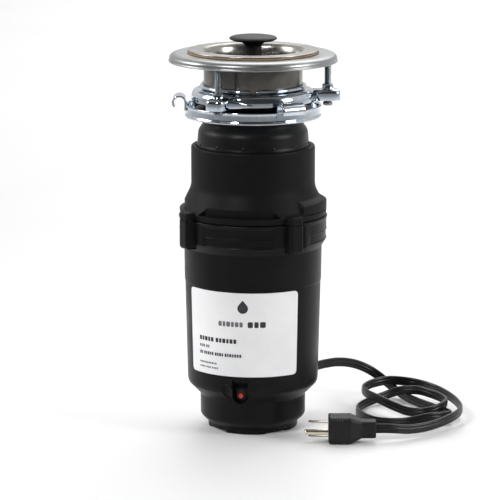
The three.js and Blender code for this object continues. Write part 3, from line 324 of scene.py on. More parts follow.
class Groups:
    """The shader node groups that several finishes share, each built once."""

    def __init__(self) -> None:
        """Starts with none built."""
        self._made: dict[str, bpy.types.NodeTree] = {}

    def get(self, name: str) -> bpy.types.NodeTree:
        """The group of that name, built on first use.

        Args:
            name: One of mottle, specks, brushed, grain.

        Returns:
            The node tree.
        """
        if name not in self._made:
            tree = bpy.data.node_groups.new(name, "ShaderNodeTree")
            getattr(self, "_" + name)(tree)
            self._made[name] = tree
        return self._made[name]

    @staticmethod
    def _socket(tree: bpy.types.NodeTree, name: str, way: str, value: float | None = None) -> None:
        """Adds a float socket to a group."""
        socket = tree.interface.new_socket(name=name, in_out=way, socket_type="NodeSocketFloat")
        if value is not None:
            socket.default_value = value

    @staticmethod
    def _ends(tree: bpy.types.NodeTree) -> tuple[bpy.types.Node, bpy.types.Node]:
        """The group's input and output nodes."""
        return tree.nodes.new("NodeGroupInput"), tree.nodes.new("NodeGroupOutput")

    def _mottle(self, tree: bpy.types.NodeTree) -> None:
        """Soft uneven patches: two sizes of noise added and stretched to 0 to 1."""
        self._socket(tree, "Scale", "INPUT", 60.0)
        self._socket(tree, "Mask", "OUTPUT")
        start, end = self._ends(tree)
        place = tree.nodes.new("ShaderNodeTexCoord")
        broad, fine = tree.nodes.new("ShaderNodeTexNoise"), tree.nodes.new("ShaderNodeTexNoise")
        for noise, detail in ((broad, 2.0), (fine, 4.0)):
            noise.inputs["Detail"].default_value = detail
            tree.links.new(place.outputs["Object"], noise.inputs["Vector"])
        triple = tree.nodes.new("ShaderNodeMath")
        triple.operation = "MULTIPLY"
        triple.inputs[1].default_value = 4.3
        tree.links.new(start.outputs["Scale"], broad.inputs["Scale"])
        tree.links.new(start.outputs["Scale"], triple.inputs[0])
        tree.links.new(triple.outputs[0], fine.inputs["Scale"])
        blend = tree.nodes.new("ShaderNodeMix")
        blend.inputs["Factor"].default_value = 0.35
        tree.links.new(broad.outputs["Fac"], blend.inputs["A"])
        tree.links.new(fine.outputs["Fac"], blend.inputs["B"])
        spread = tree.nodes.new("ShaderNodeMapRange")
        spread.inputs["From Min"].default_value = 0.34
        spread.inputs["From Max"].default_value = 0.66
        tree.links.new(blend.outputs["Result"], spread.inputs["Value"])
        tree.links.new(spread.outputs["Result"], end.inputs["Mask"])

    def _specks(self, tree: bpy.types.NodeTree) -> None:
        """Rare small specks: the cores of a few cells of a Voronoi pattern."""
        self._socket(tree, "Scale", "INPUT", 700.0)
        self._socket(tree, "Size", "INPUT", 0.16)
        self._socket(tree, "Mask", "OUTPUT")
        start, end = self._ends(tree)
        place = tree.nodes.new("ShaderNodeTexCoord")
        cells = tree.nodes.new("ShaderNodeTexVoronoi")
        less = tree.nodes.new("ShaderNodeMath")
        less.operation = "LESS_THAN"
        tree.links.new(place.outputs["Object"], cells.inputs["Vector"])
        tree.links.new(start.outputs["Scale"], cells.inputs["Scale"])
        tree.links.new(cells.outputs["Distance"], less.inputs[0])
        tree.links.new(start.outputs["Size"], less.inputs[1])
        tree.links.new(less.outputs[0], end.inputs["Mask"])

    def _brushed(self, tree: bpy.types.NodeTree) -> None:
        """Brush lines round the Z axis: noise drawn out by reading angle slowly and height fast."""
        self._socket(tree, "Lines", "INPUT", 900.0)
        self._socket(tree, "Mask", "OUTPUT")
        start, end = self._ends(tree)
        place = tree.nodes.new("ShaderNodeTexCoord")
        apart = tree.nodes.new("ShaderNodeSeparateXYZ")
        tree.links.new(place.outputs["Object"], apart.inputs[0])
        turn = tree.nodes.new("ShaderNodeMath")
        turn.operation = "ARCTAN2"
        tree.links.new(apart.outputs["Y"], turn.inputs[0])
        tree.links.new(apart.outputs["X"], turn.inputs[1])
        flat = tree.nodes.new("ShaderNodeVectorMath")
        flat.operation = "MULTIPLY"
        flat.inputs[1].default_value = (1, 1, 0)
        tree.links.new(place.outputs["Object"], flat.inputs[0])
        reach = tree.nodes.new("ShaderNodeVectorMath")
        reach.operation = "LENGTH"
        tree.links.new(flat.outputs["Vector"], reach.inputs[0])
        rise = tree.nodes.new("ShaderNodeMath")
        rise.operation = "ADD"
        tree.links.new(reach.outputs["Value"], rise.inputs[0])
        tree.links.new(apart.outputs["Z"], rise.inputs[1])
        fast = tree.nodes.new("ShaderNodeMath")
        fast.operation = "MULTIPLY"
        tree.links.new(rise.outputs[0], fast.inputs[0])
        tree.links.new(start.outputs["Lines"], fast.inputs[1])
        together = tree.nodes.new("ShaderNodeCombineXYZ")
        tree.links.new(turn.outputs[0], together.inputs["X"])
        tree.links.new(fast.outputs[0], together.inputs["Y"])
        noise = tree.nodes.new("ShaderNodeTexNoise")
        noise.inputs["Scale"].default_value = 1.6
        noise.inputs["Detail"].default_value = 6.0
        tree.links.new(together.outputs[0], noise.inputs["Vector"])
        tree.links.new(noise.outputs["Fac"], end.inputs["Mask"])

    def _grain(self, tree: bpy.types.NodeTree) -> None:
        """Fine moulded or cast texture: small noise with a little smaller noise over it."""
        self._socket(tree, "Scale", "INPUT", 1800.0)
        self._socket(tree, "Height", "OUTPUT")
        start, end = self._ends(tree)
        place = tree.nodes.new("ShaderNodeTexCoord")
        noise = tree.nodes.new("ShaderNodeTexNoise")
        noise.inputs["Detail"].default_value = 3.0
        noise.inputs["Roughness"].default_value = 0.62
        tree.links.new(place.outputs["Object"], noise.inputs["Vector"])
        tree.links.new(start.outputs["Scale"], noise.inputs["Scale"])
        tree.links.new(noise.outputs["Fac"], end.inputs["Height"])


GROUPS = Groups()


@dataclass(frozen=True)
class Finish:
    """One surface finish as a node material.

    Attributes:
        name: Material name.
        low: Darker colour, linear.
        high: Lighter colour, linear.
        rough: Lowest and highest roughness.
        metal: Metallic, 0 or 1.
        grain: Kind of fine relief.
        scale: Size of the relief pattern.
        relief: Height of the relief in millimetres.
        patches: Size of the uneven patches.
        coat: Weight of a clear coat.
        fleck: Colour of rare specks, or None.
        specular: Strength of the reflection seen straight on.
    """

    name: str
    low: tuple[float, float, float]
    high: tuple[float, float, float]
    rough: tuple[float, float]
    metal: float = 0.0
    grain: Grain = Grain.MOULDED
    scale: float = 1800.0
    relief: float = 0.02
    patches: float = 40.0
    coat: float = 0.0
    fleck: tuple[float, float, float] | None = None
    specular: float = 0.5

    def material(self) -> bpy.types.Material:
        """The Blender material, built on first use.

        Returns:
            The material.
        """
        own_name = self.name + "_finish"
        found = bpy.data.materials.get(own_name)
        if found is not None:
            return found
        made = bpy.data.materials.new(own_name)
        made.use_nodes = True
        tree = made.node_tree
        shader = tree.nodes["Principled BSDF"]
        shader.inputs["Metallic"].default_value = self.metal
        shader.inputs["Specular IOR Level"].default_value = self.specular
        if self.coat:
            shader.inputs["Coat Weight"].default_value = self.coat
            shader.inputs["Coat Roughness"].default_value = 0.2
        patches = self._group(tree, "mottle", Scale=self.patches)
        relief = self._relief(tree)
        colour = tree.nodes.new("ShaderNodeMix")
        colour.data_type = "RGBA"
        colour.inputs[6].default_value = (*self.low, 1)
        colour.inputs[7].default_value = (*self.high, 1)
        tree.links.new(patches.outputs["Mask"], colour.inputs["Factor"])
        paint = colour.outputs[2]
        if self.grain is Grain.BRUSHED:
            paint = self._over(tree, paint, relief, self.low, 0.55)
        if self.fleck is not None:
            specks = self._group(tree, "specks", Scale=self.scale * 0.5)
            paint = self._over(tree, paint, specks.outputs["Mask"], self.fleck, 0.6)
        tree.links.new(paint, shader.inputs["Base Color"])
        spread = tree.nodes.new("ShaderNodeMapRange")
        spread.inputs["To Min"].default_value, spread.inputs["To Max"].default_value = self.rough
        tree.links.new(patches.outputs["Mask"], spread.inputs["Value"])
        tree.links.new(spread.outputs["Result"], shader.inputs["Roughness"])
        bump = tree.nodes.new("ShaderNodeBump")
        bump.inputs["Distance"].default_value = self.relief * MM
        bump.inputs["Strength"].default_value = 0.6
        tree.links.new(relief, bump.inputs["Height"])
        tree.links.new(bump.outputs["Normal"], shader.inputs["Normal"])
        return made

    @staticmethod
    def _group(tree: bpy.types.NodeTree, name: str, **values: float) -> bpy.types.Node:
        """A shared group placed in a material, with its own values."""
        node = tree.nodes.new("ShaderNodeGroup")
        node.node_tree = GROUPS.get(name)
        for key, value in values.items():
            node.inputs[key].default_value = value
        return node

    def _relief(self, tree: bpy.types.NodeTree) -> bpy.types.NodeSocket:
        """The height socket of this finish's fine relief."""
        if self.grain is Grain.BRUSHED:
            return self._group(tree, "brushed", Lines=self.scale).outputs["Mask"]
        if self.grain is Grain.RIBBED:
            place = tree.nodes.new("ShaderNodeUVMap")
            place.uv_map = "UVMap"
            wave = tree.nodes.new("ShaderNodeTexWave")
            wave.bands_direction = "X"
            wave.inputs["Scale"].default_value = self.scale
            wave.inputs["Distortion"].default_value = 0.6
            tree.links.new(place.outputs["UV"], wave.inputs["Vector"])
            return wave.outputs["Fac"]
        return self._group(tree, "grain", Scale=self.scale).outputs["Height"]

    @staticmethod
    def _over(
        tree: bpy.types.NodeTree,
        under: bpy.types.NodeSocket,
        mask: bpy.types.NodeSocket,
        colour: tuple[float, float, float],
        share: float,
    ) -> bpy.types.NodeSocket:
        """Lays a colour over another where a mask is high.

        Args:
            tree: The material's nodes.
            under: The colour below.
            mask: Where the new colour shows.
            colour: The new colour.
            share: How much of it shows at most.

        Returns:
            The mixed colour.
        """
        times = tree.nodes.new("ShaderNodeMath")
        times.operation = "MULTIPLY"
        times.inputs[1].default_value = share
        mix = tree.nodes.new("ShaderNodeMix")
        mix.data_type = "RGBA"
        mix.inputs[7].default_value = (*colour, 1)
        tree.links.new(mask, times.inputs[0])
        tree.links.new(times.outputs[0], mix.inputs["Factor"])
        tree.links.new(under, mix.inputs[6])
        return mix.outputs[2]


class Finishes:
    """Every finish on the disposal."""

    hopper_plastic = Finish("hopper_plastic", (0.0036, 0.0036, 0.0038), (0.0056, 0.0056, 0.0058),
                            (0.46, 0.58),
                            scale=2400, relief=0.03, patches=26, fleck=(0.010, 0.010, 0.010), specular=0.11)
    shell_plastic = Finish("shell_plastic", (0.0028, 0.0028, 0.0030), (0.0050, 0.0050, 0.0052), (0.30, 0.42),
                           scale=1500, relief=0.02, patches=22, fleck=(0.009, 0.009, 0.0093), specular=0.13)
    cushion_rubber = Finish("cushion_rubber", (0.0030, 0.0030, 0.0030), (0.0050, 0.0048, 0.0048),
                            (0.34, 0.46),
                            scale=900, relief=0.04, patches=34, specular=0.18)
    soft_black = Finish("soft_black", (0.0050, 0.0050, 0.0054), (0.0085, 0.0085, 0.0090), (0.42, 0.53),
                        scale=2600, relief=0.02, patches=60, specular=0.3)
    cord_rubber = Finish("cord_rubber", (0.0040, 0.0040, 0.0040), (0.0080, 0.0080, 0.0080), (0.28, 0.40),
                         grain=Grain.RIBBED, scale=90, relief=0.02, patches=90, specular=0.34)
    stainless = Finish("stainless", (0.30, 0.288, 0.27), (0.52, 0.505, 0.48), (0.20, 0.30), metal=1.0,
                       grain=Grain.BRUSHED, scale=1500, relief=0.006, patches=30)
    # Painted dark reflection: a darker copy of the stainless, worn by the sleeve over the flange's neck in
    # place of the dark reflections there.
    neck_painted_dark_reflection = Finish("neck_painted_dark_reflection", (0.11, 0.104, 0.095), (0.30, 0.288, 0.266), (0.20, 0.30), metal=1.0,
                        grain=Grain.BRUSHED, scale=1500, relief=0.006, patches=26)
    zinc = Finish("zinc", (0.30, 0.305, 0.31), (0.38, 0.385, 0.39), (0.30, 0.38), metal=1.0,
                  grain=Grain.CAST, scale=1600, relief=0.03, patches=50, fleck=(0.17, 0.17, 0.18))
    chrome = Finish("chrome", (0.46, 0.51, 0.57), (0.66, 0.71, 0.77), (0.06, 0.14), metal=1.0,
                    grain=Grain.CAST, scale=500, relief=0.015, patches=45)
    screw_steel = Finish("screw_steel", (0.26, 0.285, 0.30), (0.42, 0.45, 0.47), (0.14, 0.24), metal=1.0,
                         grain=Grain.CAST, scale=1400, relief=0.01, patches=90)
    fibre = Finish("fibre", (0.30, 0.19, 0.10), (0.46, 0.32, 0.18), (0.80, 0.95), grain=Grain.CAST,
                   scale=1300, relief=0.08, patches=160, fleck=(0.16, 0.10, 0.05))
    motor_steel = Finish("motor_steel", (0.30, 0.31, 0.32), (0.42, 0.43, 0.44), (0.30, 0.42), metal=1.0,
                         grain=Grain.BRUSHED, scale=900, relief=0.01)
    copper = Finish("copper", (0.50, 0.20, 0.10), (0.72, 0.34, 0.18), (0.26, 0.40), metal=1.0,
                    grain=Grain.BRUSHED, scale=2600, relief=0.03)
    ferrite = Finish("ferrite", (0.035, 0.035, 0.038), (0.06, 0.06, 0.065), (0.55, 0.70), grain=Grain.CAST,
                     scale=1200, relief=0.05)
    carbon = Finish("carbon", (0.02, 0.02, 0.02), (0.04, 0.04, 0.04), (0.60, 0.80), grain=Grain.CAST,
                    scale=1500, relief=0.04)
    blade_metal = Finish("blade_metal", (0.58, 0.53, 0.42), (0.74, 0.70, 0.60), (0.18, 0.28), metal=1.0,
                         grain=Grain.CAST, scale=900, relief=0.008, patches=120)
    label_white = Finish("label_white", (0.80, 0.80, 0.81), (0.86, 0.86, 0.87), (0.30, 0.38),
                         grain=Grain.SMOOTH, scale=2600, relief=0.01, patches=20, coat=0.25)
    ink_black = Finish("ink_black", (0.014, 0.014, 0.015), (0.03, 0.03, 0.032), (0.38, 0.50),
                       grain=Grain.SMOOTH, scale=3000, relief=0.01, patches=200)
    ink_grey = Finish("ink_grey", (0.10, 0.10, 0.105), (0.16, 0.16, 0.165), (0.38, 0.50),
                      grain=Grain.SMOOTH, scale=3000, relief=0.01, patches=200)
    button_red = Finish("button_red", (0.42, 0.035, 0.03), (0.58, 0.06, 0.05), (0.28, 0.38),
                        grain=Grain.MOULDED, scale=2200, relief=0.02, patches=200)
    switch_grey = Finish("switch_grey", (0.012, 0.012, 0.013), (0.024, 0.024, 0.025), (0.45, 0.6),
                         grain=Grain.MOULDED, scale=1800, relief=0.03, patches=120)


@dataclass
class Part:
    """One finished piece: its surfaces, what they are made of, and what they stand for.

    Attributes:
        name: The piece's name.
        skins: Its closed surfaces.
        finish: Its finish.
        body: The CAD body it rides on.
        slot: The record's material slot; not used.
        nodes: The CAD nodes it stands for.
        crease: Degrees between faces past which an edge stays sharp.
    """

    name: str
    skins: list[Skin]
    finish: Finish
    body: str
    slot: str
    nodes: Sequence[str] = ()
    crease: float = 38.0

    def build(self) -> bpy.types.Object:
        """Writes the mesh, dresses it and puts it on its body.

        Returns:
            The new object.
        """
        vertices, quads, triangles, places = [], [], [], []
        start = 0
        for skin in self.skins:
            points, faces, place = skin.parts()
            vertices.append(points * MM)
            places.append(place)
            quads.append(faces[0] + start)
            if len(faces) > 1:
                triangles.append(faces[1] + start)
            start += len(points)
        mesh = bpy.data.meshes.new(self.name)
        faces = np.concatenate(quads).tolist() + (np.concatenate(triangles).tolist() if triangles else [])
        mesh.from_pydata(np.concatenate(vertices).tolist(), [], faces)
        layer = mesh.uv_layers.new(name="UVMap")
        corner = np.zeros(len(mesh.loops), np.int32)
        mesh.loops.foreach_get("vertex_index", corner)
        layer.data.foreach_set("uv", np.concatenate(places)[corner].astype(np.float32).ravel())
        mesh.shade_smooth()
        mesh.set_sharp_from_angle(angle=math.radians(self.crease))
        obj = bpy.data.objects.new(self.name, mesh)
        bpy.context.scene.collection.objects.link(obj)
        mesh.materials.append(self.finish.material())
        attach(obj, self.body)
        if self.nodes:
            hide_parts(*self.nodes)
        log.info("%s: %d faces on %s", self.name, len(mesh.polygons), self.body)
        return obj


# ---- sink mount -----------------------------------------------------------------------------


@dataclass
class Stopper:
    """The sink stopper: lower disc with its seal, stem and lens-shaped cap."""

    cap_radius: float = 21.4
    stem: float = 7.2
    cap_drop: float = 1.8
    cap_height: float = 6.6
    turns: int = 96

    def parts(self) -> list[Part]:
        """The stopper and its seal.

        Returns:
            Both pieces.
        """
        low, high = node_box("stopper")
        disc, base, top = high[0], low[2], high[2] - self.cap_drop
        cap = top - self.cap_height
        line = soften([
            (disc - 1, base, 0.8), (disc, base + 0.6, 0.6), (disc, base + 4.6, 1.2),
            (disc - 6, base + 6.5, 3), (self.stem + 2.4, base + 8.4, 3), (self.stem, base + 13, 3),
            (self.stem, cap - 2, 2.5), (self.stem + 3.4, cap + 0.5, 2),
            (self.cap_radius - 2.8, cap + 1.7, 1.6), (self.cap_radius, cap + 3.5, 1.2),
            (self.cap_radius - 1.8, cap + 5.2, 1.6), (self.cap_radius - 8, cap + 6.3, 3),
            (7, cap + self.cap_height, 3), (0.5, cap + 6.5),
        ])
        line = np.concatenate([[[0.5, base]], line])
        seal_low, seal_high = node_box("stopper_seal")
        inner, outer, bottom, rim = disc + 0.3, seal_high[0], seal_low[2], seal_high[2]
        seal = soften([
            (inner, bottom + 0.4, 0.3), (outer - 1, bottom, 0.4), (outer, bottom + 0.6, 0.5),
            (outer - 0.4, bottom + 1.9, 0.5), (outer - 2, bottom + 2.5, 0.6), (inner, rim, 0.4),
        ], closed=True)
        return [
            Part("sink_plug", [revolve(line, self.turns)], Finishes.soft_black, "sink_stopper",
                 "stopper_black", ["stopper"]),
            Part("sink_plug_seal", [revolve(seal, self.turns, loop=True)], Finishes.cushion_rubber,
                 "sink_stopper",
                 "black_rubber", ["stopper_seal"]),
        ]


@dataclass
class SinkFlange:
    """Drawn stainless flange, its fibre gasket, the backup flange under it and the snap ring."""

    neck: float = 43.3
    wall: float = 2.0
    wire: float = 1.6
    gap: float = 7.0
    gap_direction: float = 283.0

    def parts(self) -> list[Part]:
        """The four rings.

        Returns:
            The pieces.
        """
        low, high = node_box("sink_flange")
        top, rim = high[2], high[0]
        under, bore = top - 1.3, self.neck - self.wall
        flange = soften([
            (self.neck, low[2], 0.5), (self.neck, under - 1.8, 1.6), (self.neck + 1.4, under, 1),
            (rim, under, 0.4), (rim, top - 0.2, 0.5), (rim - 1.4, top, 0.5), (rim - 9, top - 0.25, 1),
            (self.neck + 3.6, top, 1.2), (self.neck + 1.4, top - 0.1, 1.2), (bore + 1.2, top - 2.4, 2.2),
            (bore, top - 7, 3),
            (bore, low[2], 0.5),
        ], 7, closed=True)
        # A thin sleeve over the flange's neck that wears the darker stainless, a painted dark reflection.
        top_row = under - 1.9
        neck = soften([
            (self.neck - 0.6, low[2] + 0.3, 0.1), (self.neck + 0.04, low[2] + 0.3, 0.2),
            (self.neck + 0.04, top_row, 0.1), (self.neck - 0.6, top_row, 0.1),
        ], 3, closed=True)
        g_low, g_high = node_box("fibre_gasket")
        inside, outside = self.neck + 2, g_high[0]
        gasket = soften([
            (inside, g_low[2], 0.1), (outside - 0.1, g_low[2], 0.15),
            (outside, (g_low[2] + g_high[2]) / 2, 0.2),
            (outside - 0.15, g_high[2], 0.15), (inside, g_high[2], 0.1),
        ], 3, closed=True)
        b_low, b_high = node_box("backup_flange")
        edge, floor, roof = b_high[0], b_low[2], b_high[2]
        backup = soften([
            (inside, roof - 2.2, 0.3), (edge - 5, roof - 2.2, 2), (edge - 2.4, floor + 3.4, 1.6),
            (edge - 2.3, floor + 0.2, 0.3), (edge - 1.6, floor, 0.5), (edge - 0.3, floor, 0.6),
            (edge, floor + 0.9, 0.5), (edge - 0.7, floor + 1.7, 0.4), (edge - 0.7, floor + 4.1, 1.2),
            (edge - 2.4, roof - 1, 1.8), (edge - 6.4, roof, 3), (inside, roof, 0.3),
        ], 8, closed=True)
        return [
            Part("flange", [revolve(flange, 180, True)], Finishes.stainless, "root", "stainless",
                 ["sink_flange"], 30),
            Part("flange_neck_reflection_sleeve", [revolve(neck, 180, True)], Finishes.neck_painted_dark_reflection, "root", "stainless", (), 30),
            Part("gasket", [revolve(gasket, 180, True, self._fray)], Finishes.fibre, "root", "fibre",
                 ["fibre_gasket"]),
            Part("backup_plate", [revolve(backup, 180, True)], Finishes.zinc, "root", "zinc",
                 ["backup_flange"], 40),
            Part("snap_wire", [self.snap_wire()], Finishes.chrome, "root", "screw_steel", ["snap_ring"]),
        ]

    @staticmethod
    def _fray(angle: np.ndarray, radius: np.ndarray, height: np.ndarray) -> np.ndarray:
        """A slightly uneven cut edge: three small waves round the gasket."""
        return radius + 0.10 * np.sin(7 * angle + 1) + 0.06 * np.sin(17 * angle) + 0.03 * np.sin(41 * angle)

    def snap_wire(self) -> Skin:
        """The split wire ring: a circle of wire with rounded ends and a gap at the front.

        Returns:
            The surface.
        """
        low, high = node_box("snap_ring")
        level, radius = (low[2] + high[2]) / 2, self.neck + 0.3 + self.wire
        half = math.radians(self.gap / 2)
        start = math.radians(self.gap_direction)
        angle = np.linspace(start + half, start + FULL - half, 150)
        ease = np.concatenate([np.linspace(0, 1, 7)[:-1], np.ones(len(angle) - 12), np.linspace(1, 0, 7)[1:]])
        scale = np.sqrt(np.clip(1 - (1 - ease) ** 2, 0.02, 1))
        centre = np.stack([radius * np.cos(angle), radius * np.sin(angle), np.full_like(angle, level)], -1)
        out = np.stack([np.cos(angle), np.sin(angle), np.zeros_like(angle)], -1)
        up = np.broadcast_to([0.0, 0.0, 1.0], out.shape)
        return carried(superellipse(self.wire, self.wire, 2, 16), centre, out, up, scale)


@dataclass
class MountRings:
    """The plated upper ring with three ears and screws, and the turning lower ring with rolled lugs."""

    ears: tuple[float, ...] = (15.6, 135.6, 255.6)
    lugs: tuple[float, ...] = (73.0, 193.0, 313.0)
    circle: float = 65.5
    sheet: float = 1.8
    screw: float = 3.35
    pitch: float = 1.5
    neck: float = 43.9
    lower_rim: float = 60.05

    def parts(self) -> list[Part]:
        """The rings and the three screws.

        Returns:
            The pieces.
        """
        low, _ = node_box("upper_mount_ring")
        floor = low[2] + 0.4
        roof = floor + 9.3
        skirt = self.neck + 8.6
        upper = soften([
            (self.neck, roof - 0.9, 0.4), (skirt - 1.4, roof - 1, 1.4), (skirt - 0.1, floor + 5, 2),
            (skirt, floor, 0.4), (skirt + self.sheet, floor, 0.6), (skirt + self.sheet, floor + 5.4, 2.4),
            (skirt, roof + 0.2, 2.2), (self.neck + 4.2, roof + 1.1, 1),
            (self.neck + 3.2, roof + 0.4, 0.8), (self.neck + 1.6, roof + 0.5, 0.7),
            (self.neck, roof + 1.2, 0.4),
        ], 7, closed=True)
        skins = [revolve(upper, 180, True)]
        for angle in self.ears:
            skins += [skin.moved(turned(math.radians(angle))) for skin in self.ear(skirt, floor, roof)]
        pieces = [Part("ear_ring", skins, Finishes.chrome, "root", "chrome", ["upper_mount_ring"], 34)]
        pieces.append(self.lock_ring())
        for index, angle in enumerate(self.ears):
            name = f"mount_screw_{index + 1}"
            s_low, s_high = node_box(name)
            place = turned(math.radians(angle), (self.circle, 0, 0))
            skins = [skin.moved(place) for skin in self.screw_skins(s_low[2], s_high[2])]
            pieces.append(Part(f"clamp_screw_{index + 1}", skins, Finishes.screw_steel, f"screw_{index + 1}",
                               "screw_steel", [name], 30))
        return pieces

    def ear(self, skirt: float, floor: float, roof: float) -> list[Skin]:
        """One hooded ear along +X with its threaded collar, and the ramp beside it.

        The hood's rows start at its lower outer edge, climb a rounded wall to the top, close in
        on the collar, go down its bore and come back under the sheet.

        Args:
            skirt: Radius of the ring's skirt.
            floor: Level of the ear's lower edge.
            roof: Level of its top.

        Returns:
            The surfaces.
        """
        count = 72
        end = self.circle + 11
        half, middle = (end - skirt + 2) / 2, (end + skirt - 2) / 2
        outer = superellipse(half, 9, 3.6, count) + (middle - self.circle, 0)
        inner = superellipse(half - self.sheet, 9 - self.sheet, 3.4, count) + (middle - self.circle, 0)
        direction = np.arctan2(outer[:, 1], outer[:, 0])
        ring = np.stack([np.cos(direction), np.sin(direction)], -1)
        rows: list[np.ndarray] = []

        def row(outline: np.ndarray, level: float) -> None:
            """Adds one row at a level."""
            rows.append(np.column_stack([outline[:, 0] + self.circle, outline[:, 1], np.full(count, level)]))

        row(outer * 0.985, floor - 0.4)
        row(outer, floor - 0.1)
        bend = 3.4
        for t in np.linspace(0, 1, 7):
            inset = bend * (1 - math.cos(t * math.pi / 2)) / 9
            row(outer * (1 - inset), roof - bend + bend * math.sin(t * math.pi / 2))
        row(ring * 6.0, roof + 0.05)
        row(ring * 5.3, roof + 0.5)
        row(ring * 5.0, roof + 1.2)
        row(ring * 4.9, roof + 3.9)
        row(ring * 4.5, roof + 4.4)
        row(ring * 3.6, roof + 4.4)
        row(ring * 3.3, roof + 4.0)
        row(ring * 3.3, roof - self.sheet)
        row(inner * 0.72, roof - self.sheet)
        row(inner * 0.94, roof - self.sheet - 0.8)
        row(inner, roof - self.sheet - 2.6)
        row(inner, floor)
        return [Skin(np.stack(rows), loop=True), self.ramp(skirt, floor, roof)]

    def ramp(self, skirt: float, floor: float, roof: float) -> Skin:
        """A pressed fillet that runs from the ear's side down along the ring.

        Its height and its reach both fall off as a smooth step along the way.

        Args:
            skirt: Radius of the ring's skirt.
            floor: Level of its lower edge.
            roof: Level of its top.

        Returns:
            The surface.
        """
        t = np.linspace(0, 1, 26)
        angle = np.radians(6 + 21 * t)
        fade = 1 - smooth_step(t)
        reach = skirt + self.sheet + 0.1 + 10.5 * fade
        level = floor + 1.0 + (roof - floor - 1.4) * (0.25 + 0.75 * fade)
        depth = reach - skirt + 1.0
        section = superellipse(0.5, 0.5, 5, 28)
        outline = section[None] * np.stack([depth, level - floor], -1)[:, None]
        centre_radius, centre_level = reach - depth / 2, (level + floor) / 2
        path = np.stack([centre_radius * np.cos(angle), centre_radius * np.sin(angle), centre_level], -1)
        out = np.stack([np.cos(angle), np.sin(angle), np.zeros_like(angle)], -1)
        return carried(outline, path, out, np.broadcast_to([0.0, 0.0, 1.0], out.shape))

    def screw_skins(self, low: float, high: float) -> list[Skin]:
        """One screw on the Z axis: a slotted head and a shank with a turned thread.

        The shank's radius is r - d |2 frac(z/p - a/2pi) - 1|, a saw that climbs one pitch a turn.

        Args:
            low: Level of the head's underside.
            high: Level of the tip.

        Returns:
            The surfaces.
        """
        depth, foot = 0.8, low + 3.4
        levels = np.arange(foot, high - 1.4, self.pitch / 8)

        def thread(angle: np.ndarray, radius: np.ndarray, height: np.ndarray) -> np.ndarray:
            """Radius of the turned thread."""
            saw = (height / self.pitch - angle / FULL) % 1.0
            return radius - depth * smooth_step(np.abs(2 * saw - 1)) * (height < high - 1.6)

        line = np.column_stack([np.full(len(levels), self.screw), levels])
        line = np.concatenate([line, [[self.screw - 0.5, high - 1.2], [self.screw - 1.1, high]]])
        head = soften([
            (0.4, low), (3.6, low, 0.6), (4.3, low + 0.7, 0.5), (4.3, low + 2.8, 0.5),
            (self.screw - 0.2, low + 3.5),
        ])
        outline = np.stack([superellipse(h * 4.1, h * 0.62, 6, 24) for h in (1, 1, 0.97)])
        rise = np.array([low - 0.05, low + 0.02, low + 0.04])[:, None, None]
        slot = Skin(outline[..., [0, 1, 1]] * (1, 1, 0) + rise * (0, 0, 1))
        return [revolve(line, 28, reshape=thread), revolve(head, 40), slot]

    def lock_ring(self) -> Part:
        """The lower ring: a rolled channel with three curled lugs.

        Returns:
            The piece.
        """
        low, _ = node_box("lower_mount_ring")
        base = low[2]
        rim, wall = self.lower_rim, self.lower_rim - self.sheet
        top = base + 11.2
        lip = 45.8
        line = soften([
            (lip, base, 0.5), (rim - 3, base, 2), (rim - 0.1, base + 1.0, 1), (rim, base + 2.4, 0.6),
            (rim - 0.9, base + 3.6, 0.8), (rim - 0.9, top - 2.0, 0.6), (rim, top - 1.0, 0.6),
            (rim - 0.2, top, 0.4), (wall + 0.1, top, 0.4), (wall - 0.8, top - 1.6, 0.8),
            (wall - 0.9, base + 2.8, 1.2), (rim - 5, base + self.sheet, 1.2),
            (lip, base + self.sheet, 0.5),
        ], 6, closed=True)
        skins = [revolve(line, 180, True)]
        skins += [self.lug(wall, top).moved(turned(math.radians(angle))) for angle in self.lugs]
        return Part("lug_ring", skins, Finishes.chrome, "lock_ring", "chrome", ["lower_mount_ring"], 34)

    def lug(self, wall: float, top: float) -> Skin:
        """A strip that rises inside the rim and curls outwards into an open roll, along Y at +X.

        Args:
            wall: Inner radius of the rim.
            top: Level of the rim's top.

        Returns:
            The surface.
        """
        roll, sheet = 6.4, self.sheet
        centre, middle = wall + roll, top + 2.2
        turn = np.radians(np.linspace(180, -40, 40))
        mean = roll - sheet / 2
        arc = np.column_stack([centre + mean * np.cos(turn), middle + mean * np.sin(turn)])
        rise = np.column_stack([np.full(6, centre - mean), np.linspace(top - 4.5, middle - 0.4, 6)])
        line = np.concatenate([rise, arc])
        path = np.column_stack([line[:, 0], np.zeros(len(line)), line[:, 1]])
        along = np.gradient(path, axis=0)
        along /= np.linalg.norm(along, axis=1)[:, None]
        across = np.broadcast_to([0.0, 1.0, 0.0], path.shape)
        up = np.cross(across, along)
        section = soften([(-11, -sheet / 2, 0.5), (11, -sheet / 2, 0.5), (11, sheet / 2, 0.5),
                          (-11, sheet / 2, 0.5)], 3, True)
        section = subdivide(np.concatenate([section, section[:1]]), 1.5)[:-1]
        ease = np.ones(len(path))
        ease[-2:] = (0.985, 0.95)
        return carried(section, path, across, up, ease)


